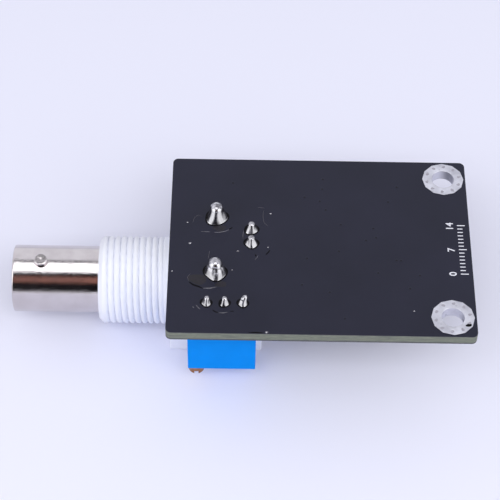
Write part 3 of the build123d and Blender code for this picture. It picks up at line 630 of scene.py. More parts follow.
@dataclass(frozen=True)
class MaskedBoard:
    """Black solder mask on both faces and bare glass laminate on the edges and in the holes."""

    name: str = "black_mask_on_laminate"
    mask: Colour = (0.0015, 0.002, 0.014)
    mask_pale: Colour = (0.004, 0.0045, 0.019)
    laminate: Colour = srgb(140, 146, 128)
    laminate_dark: Colour = srgb(92, 97, 92)
    resin_line: Colour = srgb(70, 72, 78)
    thickness: float = 1.6
    mask_roughness: float = 0.36
    edge_roughness: float = 0.7

    def build(self) -> Finish:
        """Return the finish: faces by their normal, edge layers by height."""
        shader = Shader(self.name)
        facing = shader.axis(shader.normal, "Z")
        flat = shader.math("GREATER_THAN", shader.math("ABSOLUTE", facing), 0.5)
        mask = shader.effect(Effect.MOTTLE, Scale=90.0, First=self.mask, Second=self.mask_pale)
        layers = shader.stretched((0.15, 0.15, 3.0))
        fibres = shader.effect(Effect.GRAIN, Place=layers, Scale=2500.0, Fine_Share=0.6)["Height"]
        fibre_tone = shader.spread(fibres, 0.5, 1.0, 0.0, 1.0)
        edge = shader.mix(fibre_tone, self.laminate, self.laminate_dark)
        depth = shader.math("DIVIDE", shader.axis(shader.place, "Z"), -self.thickness * MM)
        edge = shader.mix(shader.spread(depth, 0.8, 0.9, 0.0, 1.0), edge, self.resin_line)
        edge = shader.mix(shader.spread(depth, 0.03, 0.08, 1.0, 0.0), edge, self.resin_line)
        grain = shader.effect(Effect.GRAIN, Scale=5000.0, Fine_Share=0.5)["Height"]
        smudge = shader.effect(Effect.MOTTLE, Scale=45.0, First=(0, 0, 0), Second=(1, 1, 1))["Mask"]
        mask_rough = shader.spread(smudge, 0.0, 1.0, self.mask_roughness, self.mask_roughness + 0.07)
        shader.set(
            Base_Color=shader.mix(flat, edge, mask["Colour"]),
            Roughness=shader.blend(flat, self.edge_roughness, mask_rough),
            IOR=1.4,
        )
        shader.bump(shader.blend(flat, fibres, grain), 0.006)
        return shader.material


class FinishShelf:
    """All finished materials, by the record's slot names and a few of their own."""

    def __init__(self) -> None:
        """Build every material once."""
        plastics = [
            Moulded("white_plastic", srgb(236, 239, 250), 0.97, 0.42, 2500.0, 0.004),
            Moulded("insulator_plastic", srgb(236, 236, 232), 0.95, 0.5),
            Moulded("blue_plastic", srgb(0, 137, 234), 0.96, 0.5, 6000.0, 0.004, 500.0, gloss=0.05),
            Moulded("potting", srgb(205, 200, 180), 0.85, 0.6),
            Moulded("seal_rubber", srgb(28, 28, 30), 0.8, 0.75),
            Moulded("gear_plastic", srgb(222, 220, 208), 0.92, 0.5),
            Moulded("ceramic", srgb(235, 235, 230), 0.95, 0.6),
            Moulded("resistive_film", srgb(38, 38, 40), 0.8, 0.5),
            Moulded("ivory_plastic", srgb(228, 224, 206), 0.94, 0.45, 3000.0, 0.006),
            Moulded("chip_plastic", srgb(34, 34, 37), 0.85, 0.6, 9000.0, 0.01),
            Moulded("tantalum_plastic", srgb(196, 142, 50), 0.88, 0.5, 6000.0, 0.008),
            Moulded("tantalum_band", srgb(232, 200, 130), 0.92, 0.5),
            Moulded("ceramic_brown", srgb(150, 118, 90), 0.85, 0.5, 7000.0, 0.006),
            Moulded("resistor_glaze", srgb(24, 24, 27), 0.8, 0.25, 5000.0, 0.004, 600.0, 0.5),
            Moulded("lamp_resin", srgb(240, 240, 224), 0.95, 0.2, 3000.0, 0.002, 500.0, 0.6),
            Moulded("marking_white", srgb(232, 234, 246), 0.92, 0.55, 8000.0, 0.004),
            Moulded("flux_dark", (0.002, 0.002, 0.003), 0.8, 0.5, 3000.0, 0.004, gloss=0.08),
            # Pale flux finish: a painted highlight along the flux rims.
            Moulded("flux_painted_highlight", srgb(92, 91, 102), 0.35, 0.3, 2500.0, 0.01, 1500.0),
            Moulded("flux_brown", (0.0042, 0.002, 0.009), 0.4, 0.4, 2500.0, 0.012, 1200.0, gloss=0.42),
            Moulded("via_pit", (0.0008, 0.0008, 0.006), 0.8, 0.6, gloss=0.3),
            Moulded("dull_tin", srgb(166, 164, 176), 0.8, 0.5, 2500.0, 0.01, 1500.0),
        ]
        metals = [
            Metal("nickel_plate", (0.64, 0.6, 0.6), (0.58, 0.54, 0.54), 0.06, 3600.0, 0.015, (0.5, 1, 1)),
            Metal("gold_plate", srgb(222, 184, 104), srgb(190, 146, 72), 0.22),
            Metal("tinned_wire", (0.72, 0.72, 0.75), (0.5, 0.5, 0.53), 0.25),
            Metal("tinned_copper", (0.7, 0.7, 0.76), (0.48, 0.48, 0.53), 0.3, 2200.0, 0.02, (1, 1, 1), 0.16),
            Metal("brass", srgb(214, 168, 132), srgb(160, 112, 78), 0.38, 1800.0, 0.01),
            Metal("spring_metal", srgb(214, 168, 110), srgb(180, 132, 84), 0.3),
        ]
        self.finishes = {finish.name: finish.build() for finish in plastics + metals}
        self.finishes["board_laminate"] = MaskedBoard().build()
        self.finishes["solder"] = Solder().build()

    def __getitem__(self, name: str) -> Finish:
        """Return the material of that name."""
        return self.finishes[name]

    def dress(self, slot: str, *nodes: str) -> None:
        """Give CAD nodes the finish of their slot and shade their round faces smooth.

        Args:
            slot: The slot.
            *nodes: Names of the nodes.
        """
        for node in nodes:
            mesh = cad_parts[node].data
            mesh.materials.clear()
            mesh.materials.append(self.finishes[slot])
            mesh.polygons.foreach_set("use_smooth", np.ones(len(mesh.polygons), bool))


# ---- The object


@dataclass
class MountingRing:
    """Tinned pad on both faces of the board, joined by the plated wall of its hole."""

    name: str
    centre_y: float
    corner_radius: float = 3.05
    sides: int = 12
    hole_radius: float = 1.6
    board_thickness: float = 1.6
    foil: float = 0.06
    stitch_count: int = 10
    stitch_circle: float = 2.42
    stitch_radius: float = 0.24
    stitch_depth: float = 0.05
    stitch_turn: float = 0.35
    deepest: float = -0.045
    phase: float = 0.0
    mark_height: float = 0.014
    mark_drop: float = 0.01
    spot: tuple[float, float, float, float] | None = None

    def stitches(self) -> tuple[np.ndarray, np.ndarray]:
        """Places of the stitches, from the ring's centre."""
        angles = 2 * np.pi * (np.arange(self.stitch_count) + self.stitch_turn) / self.stitch_count
        return self.stitch_circle * np.cos(angles), self.stitch_circle * np.sin(angles)

    def edge_radius(self, angle: np.ndarray) -> np.ndarray:
        """Distance to the pad's polygon edge: the flat's distance over the cosine of the angle from it.

        Args:
            angle: Angles round the hole.

        Returns:
            The edge's distance from the centre at each.
        """
        span = 2 * np.pi / self.sides
        flat = self.corner_radius * math.cos(span / 2)
        return flat / np.cos(np.mod(angle, span) - span / 2)

    def relief(self, x: np.ndarray, y: np.ndarray) -> np.ndarray:
        """Height of the solder skin: three slow waves, less a bell-shaped pit at each stitch.

        Args:
            x: Places from the ring's centre.
            y: Places from the ring's centre.

        Returns:
            The height over the foil at each.
        """
        skin = 0.012 * np.sin(2.3 * x + 1.1 * y + self.phase) + 0.009 * np.sin(3.7 * y - 2.1 * x)
        skin += 0.006 * np.sin(6.1 * x + 4.3 * y + 2 * self.phase)
        pits = np.zeros_like(x)
        for stitch_x, stitch_y in zip(*self.stitches()):
            pits += np.exp(-((np.hypot(x - stitch_x, y - stitch_y) / self.stitch_radius) ** 4))
        return np.maximum(skin - self.stitch_depth * np.minimum(pits, 1), self.deepest)

    def shape(self, u: np.ndarray, v: np.ndarray) -> Grids:
        """Go round the hole with u, and with v from the top edge, in and down, out and back up.

        The radius runs from the polygon's edge to the hole and back, and the height stays on the top
        pad, falls through the hole, stays on the lower pad and closes at the edge.
        """
        angle = 2 * np.pi * u
        outer = self.edge_radius(angle)
        top, low = self.foil, -self.board_thickness - self.foil
        inward = np.interp(v, [0, 0.02, 0.4, 0.42, 0.58, 0.6, 0.98, 1], [1, 0.98, 0.03, 0, 0, 0.03, 0.98, 1])
        radius = self.hole_radius + (outer - self.hole_radius) * inward
        level = np.interp(v, [0, 0.02, 0.4, 0.44, 0.56, 0.6, 0.98, 1], [0, 1, 1, 0.94, -0.94, -1, -1, 0])
        x, y = radius * np.cos(angle), radius * np.sin(angle)
        bumps = self.relief(x, y) * np.clip((np.abs(level) - 0.9) * 10, 0, 1)
        fade = np.clip((outer - radius) / 0.15, 0, 1) * np.clip((radius - self.hole_radius) / 0.1, 0, 1)
        z = (top + low) / 2 + (top - low) / 2 * level + np.sign(level) * bumps * fade
        face_edge = np.isin(v, [0, 1])
        z = np.where(face_edge, np.where(v < 0.5, 0.0, -self.board_thickness), z)
        return x, self.centre_y + y, z

    def mark(self, x: float, y: float, radius_x: float, radius_y: float) -> Patch:
        """Lay a thin oval film over the top pad's skin.

        Args:
            x: Place from the ring's centre.
            y: Place from the ring's centre.
            radius_x: Half its size along X.
            radius_y: Half its size along Y.

        Returns:
            The film.
        """
        def shape(u: np.ndarray, v: np.ndarray) -> Grids:
            """Go round the oval with u and from its middle outwards with v; the rim drops by v^6."""
            angle = 2 * np.pi * u
            reach = v * (1 + 0.14 * np.sin(2 * angle + 3 * x) + 0.1 * np.sin(3 * angle + 2 * y))
            film_x, film_y = x + radius_x * reach * np.cos(angle), y + radius_y * reach * np.sin(angle)
            skin = self.foil + self.relief(film_x, film_y)
            return film_x, self.centre_y + film_y, skin + self.mark_height - self.mark_drop * v**6

        return surface(shape, 24, 7)

    def build_marks(self, shelf: FinishShelf) -> None:
        """Make the dull stitches and, where there is one, the dark spot."""
        marks = [self.mark(x, y, self.stitch_radius, self.stitch_radius) for x, y in zip(*self.stitches())]
        finishes = [shelf["dull_tin"]] * len(marks)
        if self.spot is not None:
            marks.append(self.mark(*self.spot))
            finishes.append(shelf["flux_dark"])
        make_piece(self.name + "_marks", marks, finishes, flatness=Flatness.SOFT)

    def build(self, shelf: FinishShelf) -> None:
        """Make the ring and hide its CAD node."""
        self.build_marks(shelf)
        skin = surface(self.shape, 240, 101, wrap_v=True)
        finish = "tinned_copper"
        piece = make_piece(self.name + "_skin", [skin], shelf[finish], flatness=Flatness.SOFT)
        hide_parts(self.name)


@dataclass
class CircuitBoard:
    """The board's faces: capped vias, solder flux whose pale rims are a painted highlight, specks and a scale
    of plain numbers.
    """

    face: float = 0.0
    via_rim_radius: float = 0.2
    via_rim_height: float = 0.02
    via_reach: float = 0.42
    via_mouth: float = 0.12
    via_bell: float = 0.09
    via_pit_radius: float = 0.17
    vias: tuple[tuple[float, float], ...] = (
        (-17.64, 12.33), (-17.74, 10.42), (-20.36, 8.8), (-18.15, 8.08), (-30.81, 11.35), (-20.1, -2.62),
        (-16.98, -8.64), (-8.22, 8.15), (-15.18, 3.71), (-10.52, 3.09), (-11.64, 0.85), (-15.54, -1.23),
        (-7.42, -2.75), (-6.78, -2.79), (-10.09, -5.08), (-4.22, -5.41), (-5.71, -7.79), (-14.96, -13.21),
        (-6.86, 11.04), (-17.32, 6.44), (-10.19, 1.36), (-20.85, -7.39),
    )
    specks: tuple[tuple[float, float, float], ...] = (
        (-36.76, -0.11, 0.17), (-29.9, -1.44, 0.13), (-30.7, -4.9, 0.1), (-5.35, -11.65, 0.12),
        (-37.24, 3.75, 0.12), (-39.14, -5.25, 0.1), (-25.28, 5.6, 0.12), (-25.62, -0.64, 0.11),
        (-25.75, -15.72, 0.2),
    )
    painted_highlight_height: float = 0.03
    dark_height: float = 0.02
    film_height: float = 0.012
    speck_height: float = 0.05
    # Flux rims painted pale, standing for a painted highlight along each rim.
    painted_highlight_lines: tuple[tuple[float, tuple[tuple[float, float], ...]], ...] = (
        (0.12, ((-35.3, 2.06), (-34.32, 2.03), (-33.9, 2.0))),
        (0.16, ((-33.4, 1.96), (-32.6, 1.96), (-31.8, 2.15), (-31.2, 2.5))),
        (0.2, ((-34.68, -8.24), (-33.72, -8.2), (-32.76, -7.96))),
        (0.16, ((-32.41, -12.49), (-31.8, -12.5), (-31.2, -12.38))),
        (0.12, ((-36.1, -11.48), (-35.85, -11.7))),
        (0.16, ((-35.6, -11.2), (-35.3, -11.6), (-35.0, -11.95))),
        (0.1, ((-29.16, 2.35), (-29.25, 1.4), (-29.2, 0.8))),
        (0.1, ((-27.5, -3.03), (-27.2, -2.6), (-27.03, -2.22))),
        (0.07, ((-34.11, -2.93), (-34.01, -2.2), (-33.95, -1.5))),
        (0.06, ((-36.48, 3.71), (-36.27, 4.61), (-35.8, 5.14), (-35.1, 4.85))),
        (0.06, ((-27.15, 6.75), (-26.6, 6.7), (-26.1, 6.6))),
        (0.06, ((-26.28, 6.29), (-26.4, 5.2), (-26.27, 3.93), (-25.6, 3.2))),
        (0.06, ((-36.5, -5.6), (-36.95, -6.3), (-36.75, -7.0))),
    )
    dark_lines: tuple[tuple[float, tuple[tuple[float, float], ...]], ...] = (
        (0.28, ((-36.75, -7.1), (-36.1, -7.65), (-35.3, -7.95), (-34.7, -8.3))),
        (0.2, ((-33.3, -12.0), (-32.9, -12.35), (-32.5, -12.45))),
        (0.14, ((-30.85, -12.2), (-30.3, -12.19))),
        (0.2, ((-25.97, -2.09), (-25.6, -1.6), (-25.35, -1.16))),
        (0.2, ((-31.3, 2.5), (-30.9, 2.78), (-30.75, 2.95))),
        (0.2, ((-27.4, -2.0), (-27.35, -2.4))),
        (0.22, ((-28.3, -15.85), (-27.5, -15.8), (-26.2, -15.85))),
    )
    brown_films: tuple[tuple[float, float, float, float], ...] = (
        (-35.5, -6.65, 1.25, 1.05),
        (-32.2, -7.5, 0.9, 0.5),
        (-32.6, 2.75, 1.1, 0.5),
    )
    number_size: float = 1.45
    number_rows: tuple[tuple[str, float, float], ...] = (
        ("0", 0.95, -5.35), ("7", 0.95, -1.0), ("14", 0.95, 3.0),
    )
    tick_x: float = 1.55
    tick_length: float = 0.75
    tick_width: float = 0.16
    tick_range: tuple[float, float, int] = (-5.0, 3.9, 15)
    marking_height: float = 0.02

    def capped_via(self, place: tuple[float, float]) -> tuple[Patch, Patch]:
        """Make one tented hole: a low rim, height * exp(-((r - rim) / bell)^2), round a dark pit.

        Args:
            place: Its X and Y.

        Returns:
            The rim and the pit.
        """
        def rim(u: np.ndarray, v: np.ndarray) -> Grids:
            """Go round the hole with u and from its mouth outwards with v."""
            radius = self.via_mouth + (self.via_reach - self.via_mouth) * v
            bell = np.exp(-(((radius - self.via_rim_radius) / self.via_bell) ** 2))
            x, y = radius * np.cos(2 * np.pi * u), radius * np.sin(2 * np.pi * u)
            return x, y, self.via_rim_height * bell * (1 - v**4) + 0.0008 * (1 - v)

        def pit(u: np.ndarray, v: np.ndarray) -> Grids:
            """Go round the pit with u and from its middle outwards with v."""
            radius = self.via_pit_radius * v
            x, y = radius * np.cos(2 * np.pi * u), radius * np.sin(2 * np.pi * u)
            return x, y, 0.012 + 0.004 * v**2

        at = (*place, self.face)
        return surface(rim, 20, 10).moved(at), surface(pit, 20, 3).moved(at)

    def build_vias(self, shelf: FinishShelf) -> None:
        """Make all the capped vias as one piece."""
        pairs = [self.capped_via(place) for place in self.vias]
        patches = [patch for pair in pairs for patch in pair]
        finishes = [shelf["board_laminate"], shelf["via_pit"]] * len(pairs)
        make_piece("capped_vias", patches, finishes, flatness=Flatness.SOFT)

    def bead(self, x: float, y: float, radius_x: float, radius_y: float, height: float) -> Patch:
        """Make a low drop: height * (1 - r^2) over an ellipse whose edge wanders a little.

        Args:
            x: Its middle.
            y: Its middle.
            radius_x: Half its size along X.
            radius_y: Half its size along Y.
            height: Its height.

        Returns:
            The drop.
        """
        def shape(u: np.ndarray, v: np.ndarray) -> Grids:
            """Go round the drop with u and from its middle outwards with v."""
            angle = 2 * np.pi * u
            wander = 1 + 0.12 * np.sin(2 * angle + x) + 0.09 * np.sin(3 * angle + 2 * y)
            reach = v * wander
            drop_x, drop_y = x + radius_x * reach * np.cos(angle), y + radius_y * reach * np.sin(angle)
            return drop_x, drop_y, self.face + height * (1 - v**2) - 0.001 * v

        return surface(shape, 28, 7)

    def build_flux(self, shelf: FinishShelf) -> None:
        """Make the flux films, their dark rims and their pale rims, which carry a painted highlight, and the
        specks beside the joints.
        """
        # The pale rims are painted highlights; the dark rims are the flux's own colour.
        pale = [ribbon(path, width, self.painted_highlight_height, self.face) for width, path in self.painted_highlight_lines]
        dark = [ribbon(path, width, self.dark_height, self.face) for width, path in self.dark_lines]
        films = [self.bead(x, y, long, wide, self.film_height) for x, y, long, wide in self.brown_films]
        dots = [self.bead(x, y, size, size * 0.8, self.speck_height) for x, y, size in self.specks]
        make_piece("flux_rims_painted_highlight", pale, shelf["flux_painted_highlight"])
        make_piece("flux_rims_dark", dark, shelf["flux_dark"])
        make_piece("flux_films", films, shelf["flux_brown"])
        make_piece("solder_specks", dots, shelf["solder"], flatness=Flatness.SOFT)

    def text_mesh(self, text: str, x: float, y: float) -> Patch:
        """Turn a number into a thin raised mesh that reads towards +Y, with its top towards -X.

        Args:
            text: The digits.
            x: The baseline's place.
            y: Where the first digit starts.

        Returns:
            The digits' triangles.
        """
        curve = bpy.data.curves.new("digits", "FONT")
        curve.body = text
        curve.size = self.number_size
        curve.offset = 0.02
        curve.extrude = self.marking_height / 2
        holder = bpy.data.objects.new("digits", curve)
        bpy.context.scene.collection.objects.link(holder)
        bpy.context.view_layer.update()
        mesh = bpy.data.meshes.new_from_object(holder)
        mesh.calc_loop_triangles()
        flat = np.empty(len(mesh.vertices) * 3)
        mesh.vertices.foreach_get("co", flat)
        corners = np.empty(len(mesh.loop_triangles) * 3, np.int32)
        mesh.loop_triangles.foreach_get("vertices", corners)
        bpy.data.objects.remove(holder)
        bpy.data.curves.remove(curve)
        bpy.data.meshes.remove(mesh)
        glyph = flat.reshape(-1, 3)
        points = np.stack([x - glyph[:, 1], y + glyph[:, 0], self.face + glyph[:, 2]], axis=-1)
        return Patch(points, corners.reshape(-1, 3))

    def build_scale(self, shelf: FinishShelf) -> None:
        """Print a plain scale, ticks and three numbers, where the board carries its white marking."""
        ticks = []
        for number, y in enumerate(np.linspace(*self.tick_range)):
            length = self.tick_length * (1.5 if number % 7 == 0 else 1)
            low = (self.tick_x, y - self.tick_width / 2, self.face - 0.005)
            high = (self.tick_x + length, y + self.tick_width / 2, self.face + self.marking_height)
            ticks.append(rounded_box(low, high, 0.01, 1))
        make_piece("scale_ticks", ticks, shelf["marking_white"])
        digits = [self.text_mesh(*row) for row in self.number_rows]
        make_piece("scale_numbers", digits, shelf["marking_white"])

    def build(self, shelf: FinishShelf) -> None:
        """Dress the board and everything printed or spilt on it."""
        shelf.dress("board_laminate", "circuit_board")
        MountingRing("mounting_ring_far", 12.7, phase=0.6).build(shelf)
        MountingRing("mounting_ring_near", -12.7, phase=2.1, spot=(2.1, -1.3, 0.42, 0.3)).build(shelf)
        self.build_vias(shelf)
        self.build_flux(shelf)
        self.build_scale(shelf)


@dataclass
class SolderJoint:
    """A skin of solder that climbs a pin from its pad and closes over the pin's tip."""

    name: str
    x: float
    y: float
    profile: tuple[tuple[float, float], ...]
    lean: tuple[float, float] = (0.0, 0.0)
    wander: tuple[Point, ...] = ()
    creases: tuple[Point, ...] = ()

    def shape(self, u: np.ndarray, v: np.ndarray) -> Grids:
        """Follow the profile's height and radius with v, and go round the pin with u.

        The radius is the profile's, times 1 plus sines of the angle that fade from the pad to the tip,
        plus folds, also sines of the angle, that are strongest half-way up. The skin leans by the square
        of its height.
        """
        angle = 2 * np.pi * u
        height, radius = smooth_curve(self.profile, v.shape[0]).T[:, :, None]
        top = self.profile[-1][0]
        rise = np.clip(height / top, 0, 1)
        radius = np.clip(radius, 0, None) * (1 + waves(self.wander, angle) * (1 - rise))
        radius = radius * (1 + waves(self.creases, angle) * np.sin(np.pi * rise))
        x = self.x + radius * np.cos(angle) + self.lean[0] * rise**2
        y = self.y + radius * np.sin(angle) + self.lean[1] * rise**2
        return x, y, height + 0 * angle

    def build(self, shelf: FinishShelf) -> None:
        """Make the skin and hide its CAD node."""
        skin = surface(self.shape, 96, 73)
        piece = make_piece(self.name + "_skin", [skin], shelf["solder"], flatness=Flatness.SOFT)
        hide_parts(self.name)


@dataclass
class Joints:
    """The seven soldered joints on the solder face."""

    post_far: tuple[tuple[float, float], ...] = (
        (-0.02, 1.5), (0.1, 1.42), (0.4, 1.33), (1.1, 1.1), (1.75, 0.92), (2.05, 0.85),
        (2.26, 0.74), (2.42, 0.54), (2.52, 0.28), (2.55, 0.0),
    )
    post_near: tuple[tuple[float, float], ...] = (
        (-0.02, 1.5), (0.1, 1.43), (0.4, 1.33), (1.0, 1.12), (1.35, 0.93), (1.48, 0.86),
        (1.62, 0.9), (1.85, 0.94), (2.06, 0.88), (2.28, 0.74), (2.44, 0.54), (2.53, 0.28), (2.56, 0.0),
    )
    tail: tuple[tuple[float, float], ...] = (
        (-0.02, 0.9), (0.1, 0.83), (0.35, 0.72), (0.7, 0.58), (1.0, 0.5), (1.2, 0.46),
        (1.33, 0.42), (1.41, 0.25), (1.44, 0.0),
    )
    trimmer: tuple[tuple[float, float], ...] = (
        (-0.02, 0.66), (0.1, 0.6), (0.45, 0.49), (0.8, 0.41), (1.05, 0.37), (1.2, 0.28),
        (1.28, 0.14), (1.3, 0.0),
    )
    collar_share: float = 0.8
    collar_reach: float = 0.2
    collar_height: float = 0.02
    soft: tuple[Point, ...] = ((2, 0.05, 0.4), (3, 0.04, 1.9), (5, 0.02, 0.7))
    rough: tuple[Point, ...] = ((2, 0.06, 2.6), (3, 0.05, 0.2), (4, 0.03, 1.1))

    def collar(self, joint: SolderJoint) -> Patch:
        """Make the dark flux round a joint: height * (1 - s^2) at s, from -1 to 1, across a ring.

        Args:
            joint: The joint.

        Returns:
            The ring.
        """
        base = joint.profile[0][1]
        inner, outer = self.collar_share * base, base + self.collar_reach

        def shape(u: np.ndarray, v: np.ndarray) -> Grids:
            """Go round the joint with u and from the inside out with v."""
            angle = 2 * np.pi * u
            reach = (inner + (outer - inner) * v) * (1 + waves(joint.wander, angle))
            height = self.collar_height * (1 - (2 * v - 1) ** 2) - 0.001
            return joint.x + reach * np.cos(angle), joint.y + reach * np.sin(angle), height

        return surface(shape, 64, 7)

    def joints(self) -> list[SolderJoint]:
        """List the joints, each with its place, profile, lean, wandering edge and creases."""
        upright = (0.0, 0.0)
        rows = (
            ("post_solder_far", -33.05, 4.75, self.post_far, upright,
             self.soft, ((3, 0.05, 0.3), (7, 0.015, 1.0))),
            ("post_solder_near", -33.05, -5.38, self.post_near, upright,
             self.rough, ((2, 0.06, 2.0), (5, 0.03, 0.4), (9, 0.012, 2.0))),
            ("ground_solder", -28.02, 2.54, self.tail, upright, self.soft, ((4, 0.05, 0.5),)),
            ("signal_solder", -28.02, 0.0, self.tail, upright, self.rough, ((4, 0.06, 2.2),)),
            ("trimmer_solder_1", -34.19, -10.8, self.trimmer, (0.12, 0.05), self.rough, ((3, 0.1, 0.4),)),
            ("trimmer_solder_2", -31.65, -10.8, self.trimmer, upright, self.soft, ((3, 0.08, 1.4),)),
            ("trimmer_solder_3", -29.11, -10.8, self.trimmer, (0.34, 0.32), self.rough, ((2, 0.1, 0.9),)),
        )
        return [SolderJoint(*row) for row in rows]

    def build(self, shelf: FinishShelf) -> None:
        """Place the joints and dress the posts inside them."""
        joints = self.joints()
        for joint in joints:
            joint.build(shelf)
        collars = [self.collar(joint) for joint in joints]
        make_piece("joint_flux", collars, shelf["flux_dark"])
        shelf.dress("tinned_wire", "jack_post_far", "jack_post_near")


@dataclass
class Jack:
    """The coaxial bayonet jack: metal shell, threaded white housing, insulator and contacts."""

    axis_z: float = -8.8
    mouth: float = -62.4
    shell_rear: float = -42.2
    shell_floor: float = -54.0
    shell_radius: float = 4.85
    bore_radius: float = 4.05
    inner_radius: float = 2.47
    lip: float = 0.22
    lip_support: float = 0.6
    lug_x: float = -58.26
    lug_radius: float = 0.98
    lug_reach: float = 5.5
    lug_tilt: float = 8.0
    lug_edge: float = 0.16
    lug_root: float = 4.4
    lug_support: float = 0.4
    axis_radius: float = 0.001
    nose_front: float = -49.9
    nose_chamfer: float = 0.6
    thread_radius: float = 6.35
    thread_depth: float = 0.5
    thread_pitch: float = 25.4 / 28
    thread_start: float = -48.8
    thread_turns: float = 9.5
    thread_start_angle: float = -57.0
    ridge_fullness: float = 0.42
    block_low: Point = (-39.7, -7.25, -16.1)
    block_high: Point = (-26.22, 7.25, -1.6)
    block_edge: float = 0.35
    nose_overlap: float = 0.2
    bore_room: float = 0.03

    def build_shell(self, shelf: FinishShelf) -> None:
        """Turn the shell's closed outline about the jack's axis and set the two lugs on it.

        Both outlines have extra corners beside their round edges, which keep the long faces' shading flat.
        """
        corners = [
            (self.mouth, self.bore_radius),
            (self.mouth, self.shell_radius),
            (self.mouth + self.lip_support, self.shell_radius),
            (self.shell_rear - self.lip_support, self.shell_radius),
            (self.shell_rear, self.shell_radius),
            (self.shell_rear, self.inner_radius),
            (self.shell_floor, self.inner_radius),
            (self.shell_floor, self.bore_radius),
        ]
        outline = rounded_profile(corners, self.lip)
        patches = [lathe(outline, (0, 0, self.axis_z), (1, 0, 0), 192)]
        corners = [
            (self.lug_root, self.axis_radius),
            (self.lug_root, self.lug_radius),
            (self.lug_reach - self.lug_support, self.lug_radius),
            (self.lug_reach, self.lug_radius),
            (self.lug_reach, self.lug_radius - self.lug_support),
            (self.lug_reach, self.axis_radius),
        ]
        stud = rounded_profile(corners, self.lug_edge)
        tilt = math.radians(self.lug_tilt)
        for sense in (1, -1):
            outward = (0.0, -sense * math.sin(tilt), sense * math.cos(tilt))
            patches.append(lathe(stud, (self.lug_x, 0, self.axis_z), outward, 48))
        piece = make_piece("shell_barrel", patches, shelf["nickel_plate"])
        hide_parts("jack_shell")

    def nose_shape(self, u: np.ndarray, v: np.ndarray) -> Grids:
        """Run v from the nose's front to the block, and u round it, with one right-hand groove.

        The groove's turn at a place is (x - start) / pitch less the angle's share of a turn. The radius
        is the root's plus the depth times |sin(pi * turn)| to the ridge fullness, which gives wide round
        ridges and narrow grooves, and the groove fades in and out over its first and last eighth.
        """
        angle = 2 * np.pi * u
        x = self.nose_front + (self.block_low[0] + self.nose_overlap - self.nose_front) * v
        share = np.mod(u - self.thread_start_angle / 360, 1)
        turn = (x - self.thread_start) / self.thread_pitch - share
        lobes = np.abs(np.sin(np.pi * turn)) ** self.ridge_fullness
        inside = np.clip((turn + 0.5) * 8, 0, 1) * np.clip((self.thread_turns - 0.5 - turn) * 8, 0, 1)
        inside *= (turn > -0.5) & (turn + share < self.thread_turns + 0.5)
        drop = self.thread_depth * (1 - lobes) * inside
        chamfer = np.clip(self.nose_chamfer - (x - self.nose_front), 0, None)
        radius = self.thread_radius - np.maximum(drop, chamfer)
        y, z = -radius * np.sin(angle), self.axis_z + radius * np.cos(angle)
        return x, y, z

    def build_housing(self, shelf: FinishShelf) -> None:
        """Make the threaded nose, its front face and bore, and the square block behind it."""
        nose = surface(self.nose_shape, 180, 261)
        bore_radius = self.shell_radius + self.bore_room
        nose_rear = self.block_low[0] + self.nose_overlap
        front = [
            (self.nose_front, self.thread_radius - self.nose_chamfer),
            (self.nose_front, bore_radius),
            (nose_rear, bore_radius),
            (nose_rear, self.thread_radius),
        ]
        bore = lathe(np.array(front), (0, 0, self.axis_z), (1, 0, 0), 180, closed=False)
        block = rounded_box(self.block_low, self.block_high, self.block_edge)
        finish = "white_plastic"
        patches = [nose, bore, block]
        piece = make_piece("housing_moulding", patches, shelf[finish], flatness=Flatness.SOFT)
        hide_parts("jack_housing")

    def build(self, shelf: FinishShelf) -> None:
        """Build the new forms and dress the nodes that stay."""
        self.build_shell(shelf)
        self.build_housing(shelf)
        shelf.dress("white_plastic", "jack_rear_insert")
        shelf.dress("insulator_plastic", "jack_insulator")
        shelf.dress("gold_plate", "jack_centre_contact")
        shelf.dress("tinned_wire", "jack_ground_tail")


@dataclass
class Trimmer:
    """The multi-turn trimmer, whose nodes keep their CAD forms."""

    finishes: tuple[tuple[str, str], ...] = (
        ("blue_plastic", "housing"), ("potting", "base"), ("brass", "screw"), ("seal_rubber", "seal"),
        ("gear_plastic", "rotor"), ("spring_metal", "wiper"), ("ceramic", "element"),
        ("resistive_film", "track"), ("tinned_wire", "pin_1"), ("tinned_wire", "pin_2"),
        ("tinned_wire", "pin_3"),
    )

    def build(self, shelf: FinishShelf) -> None:
        """Dress every node of the trimmer."""
        for slot, node in self.finishes:
            shelf.dress(slot, "trimmer_" + node)


@dataclass
class Socket:
    """The three-way cable socket at the end with the mounting holes."""

    metal: tuple[str, ...] = ("pin_1", "pin_2", "pin_3", "anchor_far", "anchor_near")

    def build(self, shelf: FinishShelf) -> None:
        """Dress the socket, its pins and its anchors."""
        shelf.dress("ivory_plastic", "socket_housing")
        shelf.dress("tinned_wire", *("socket_" + node for node in self.metal))


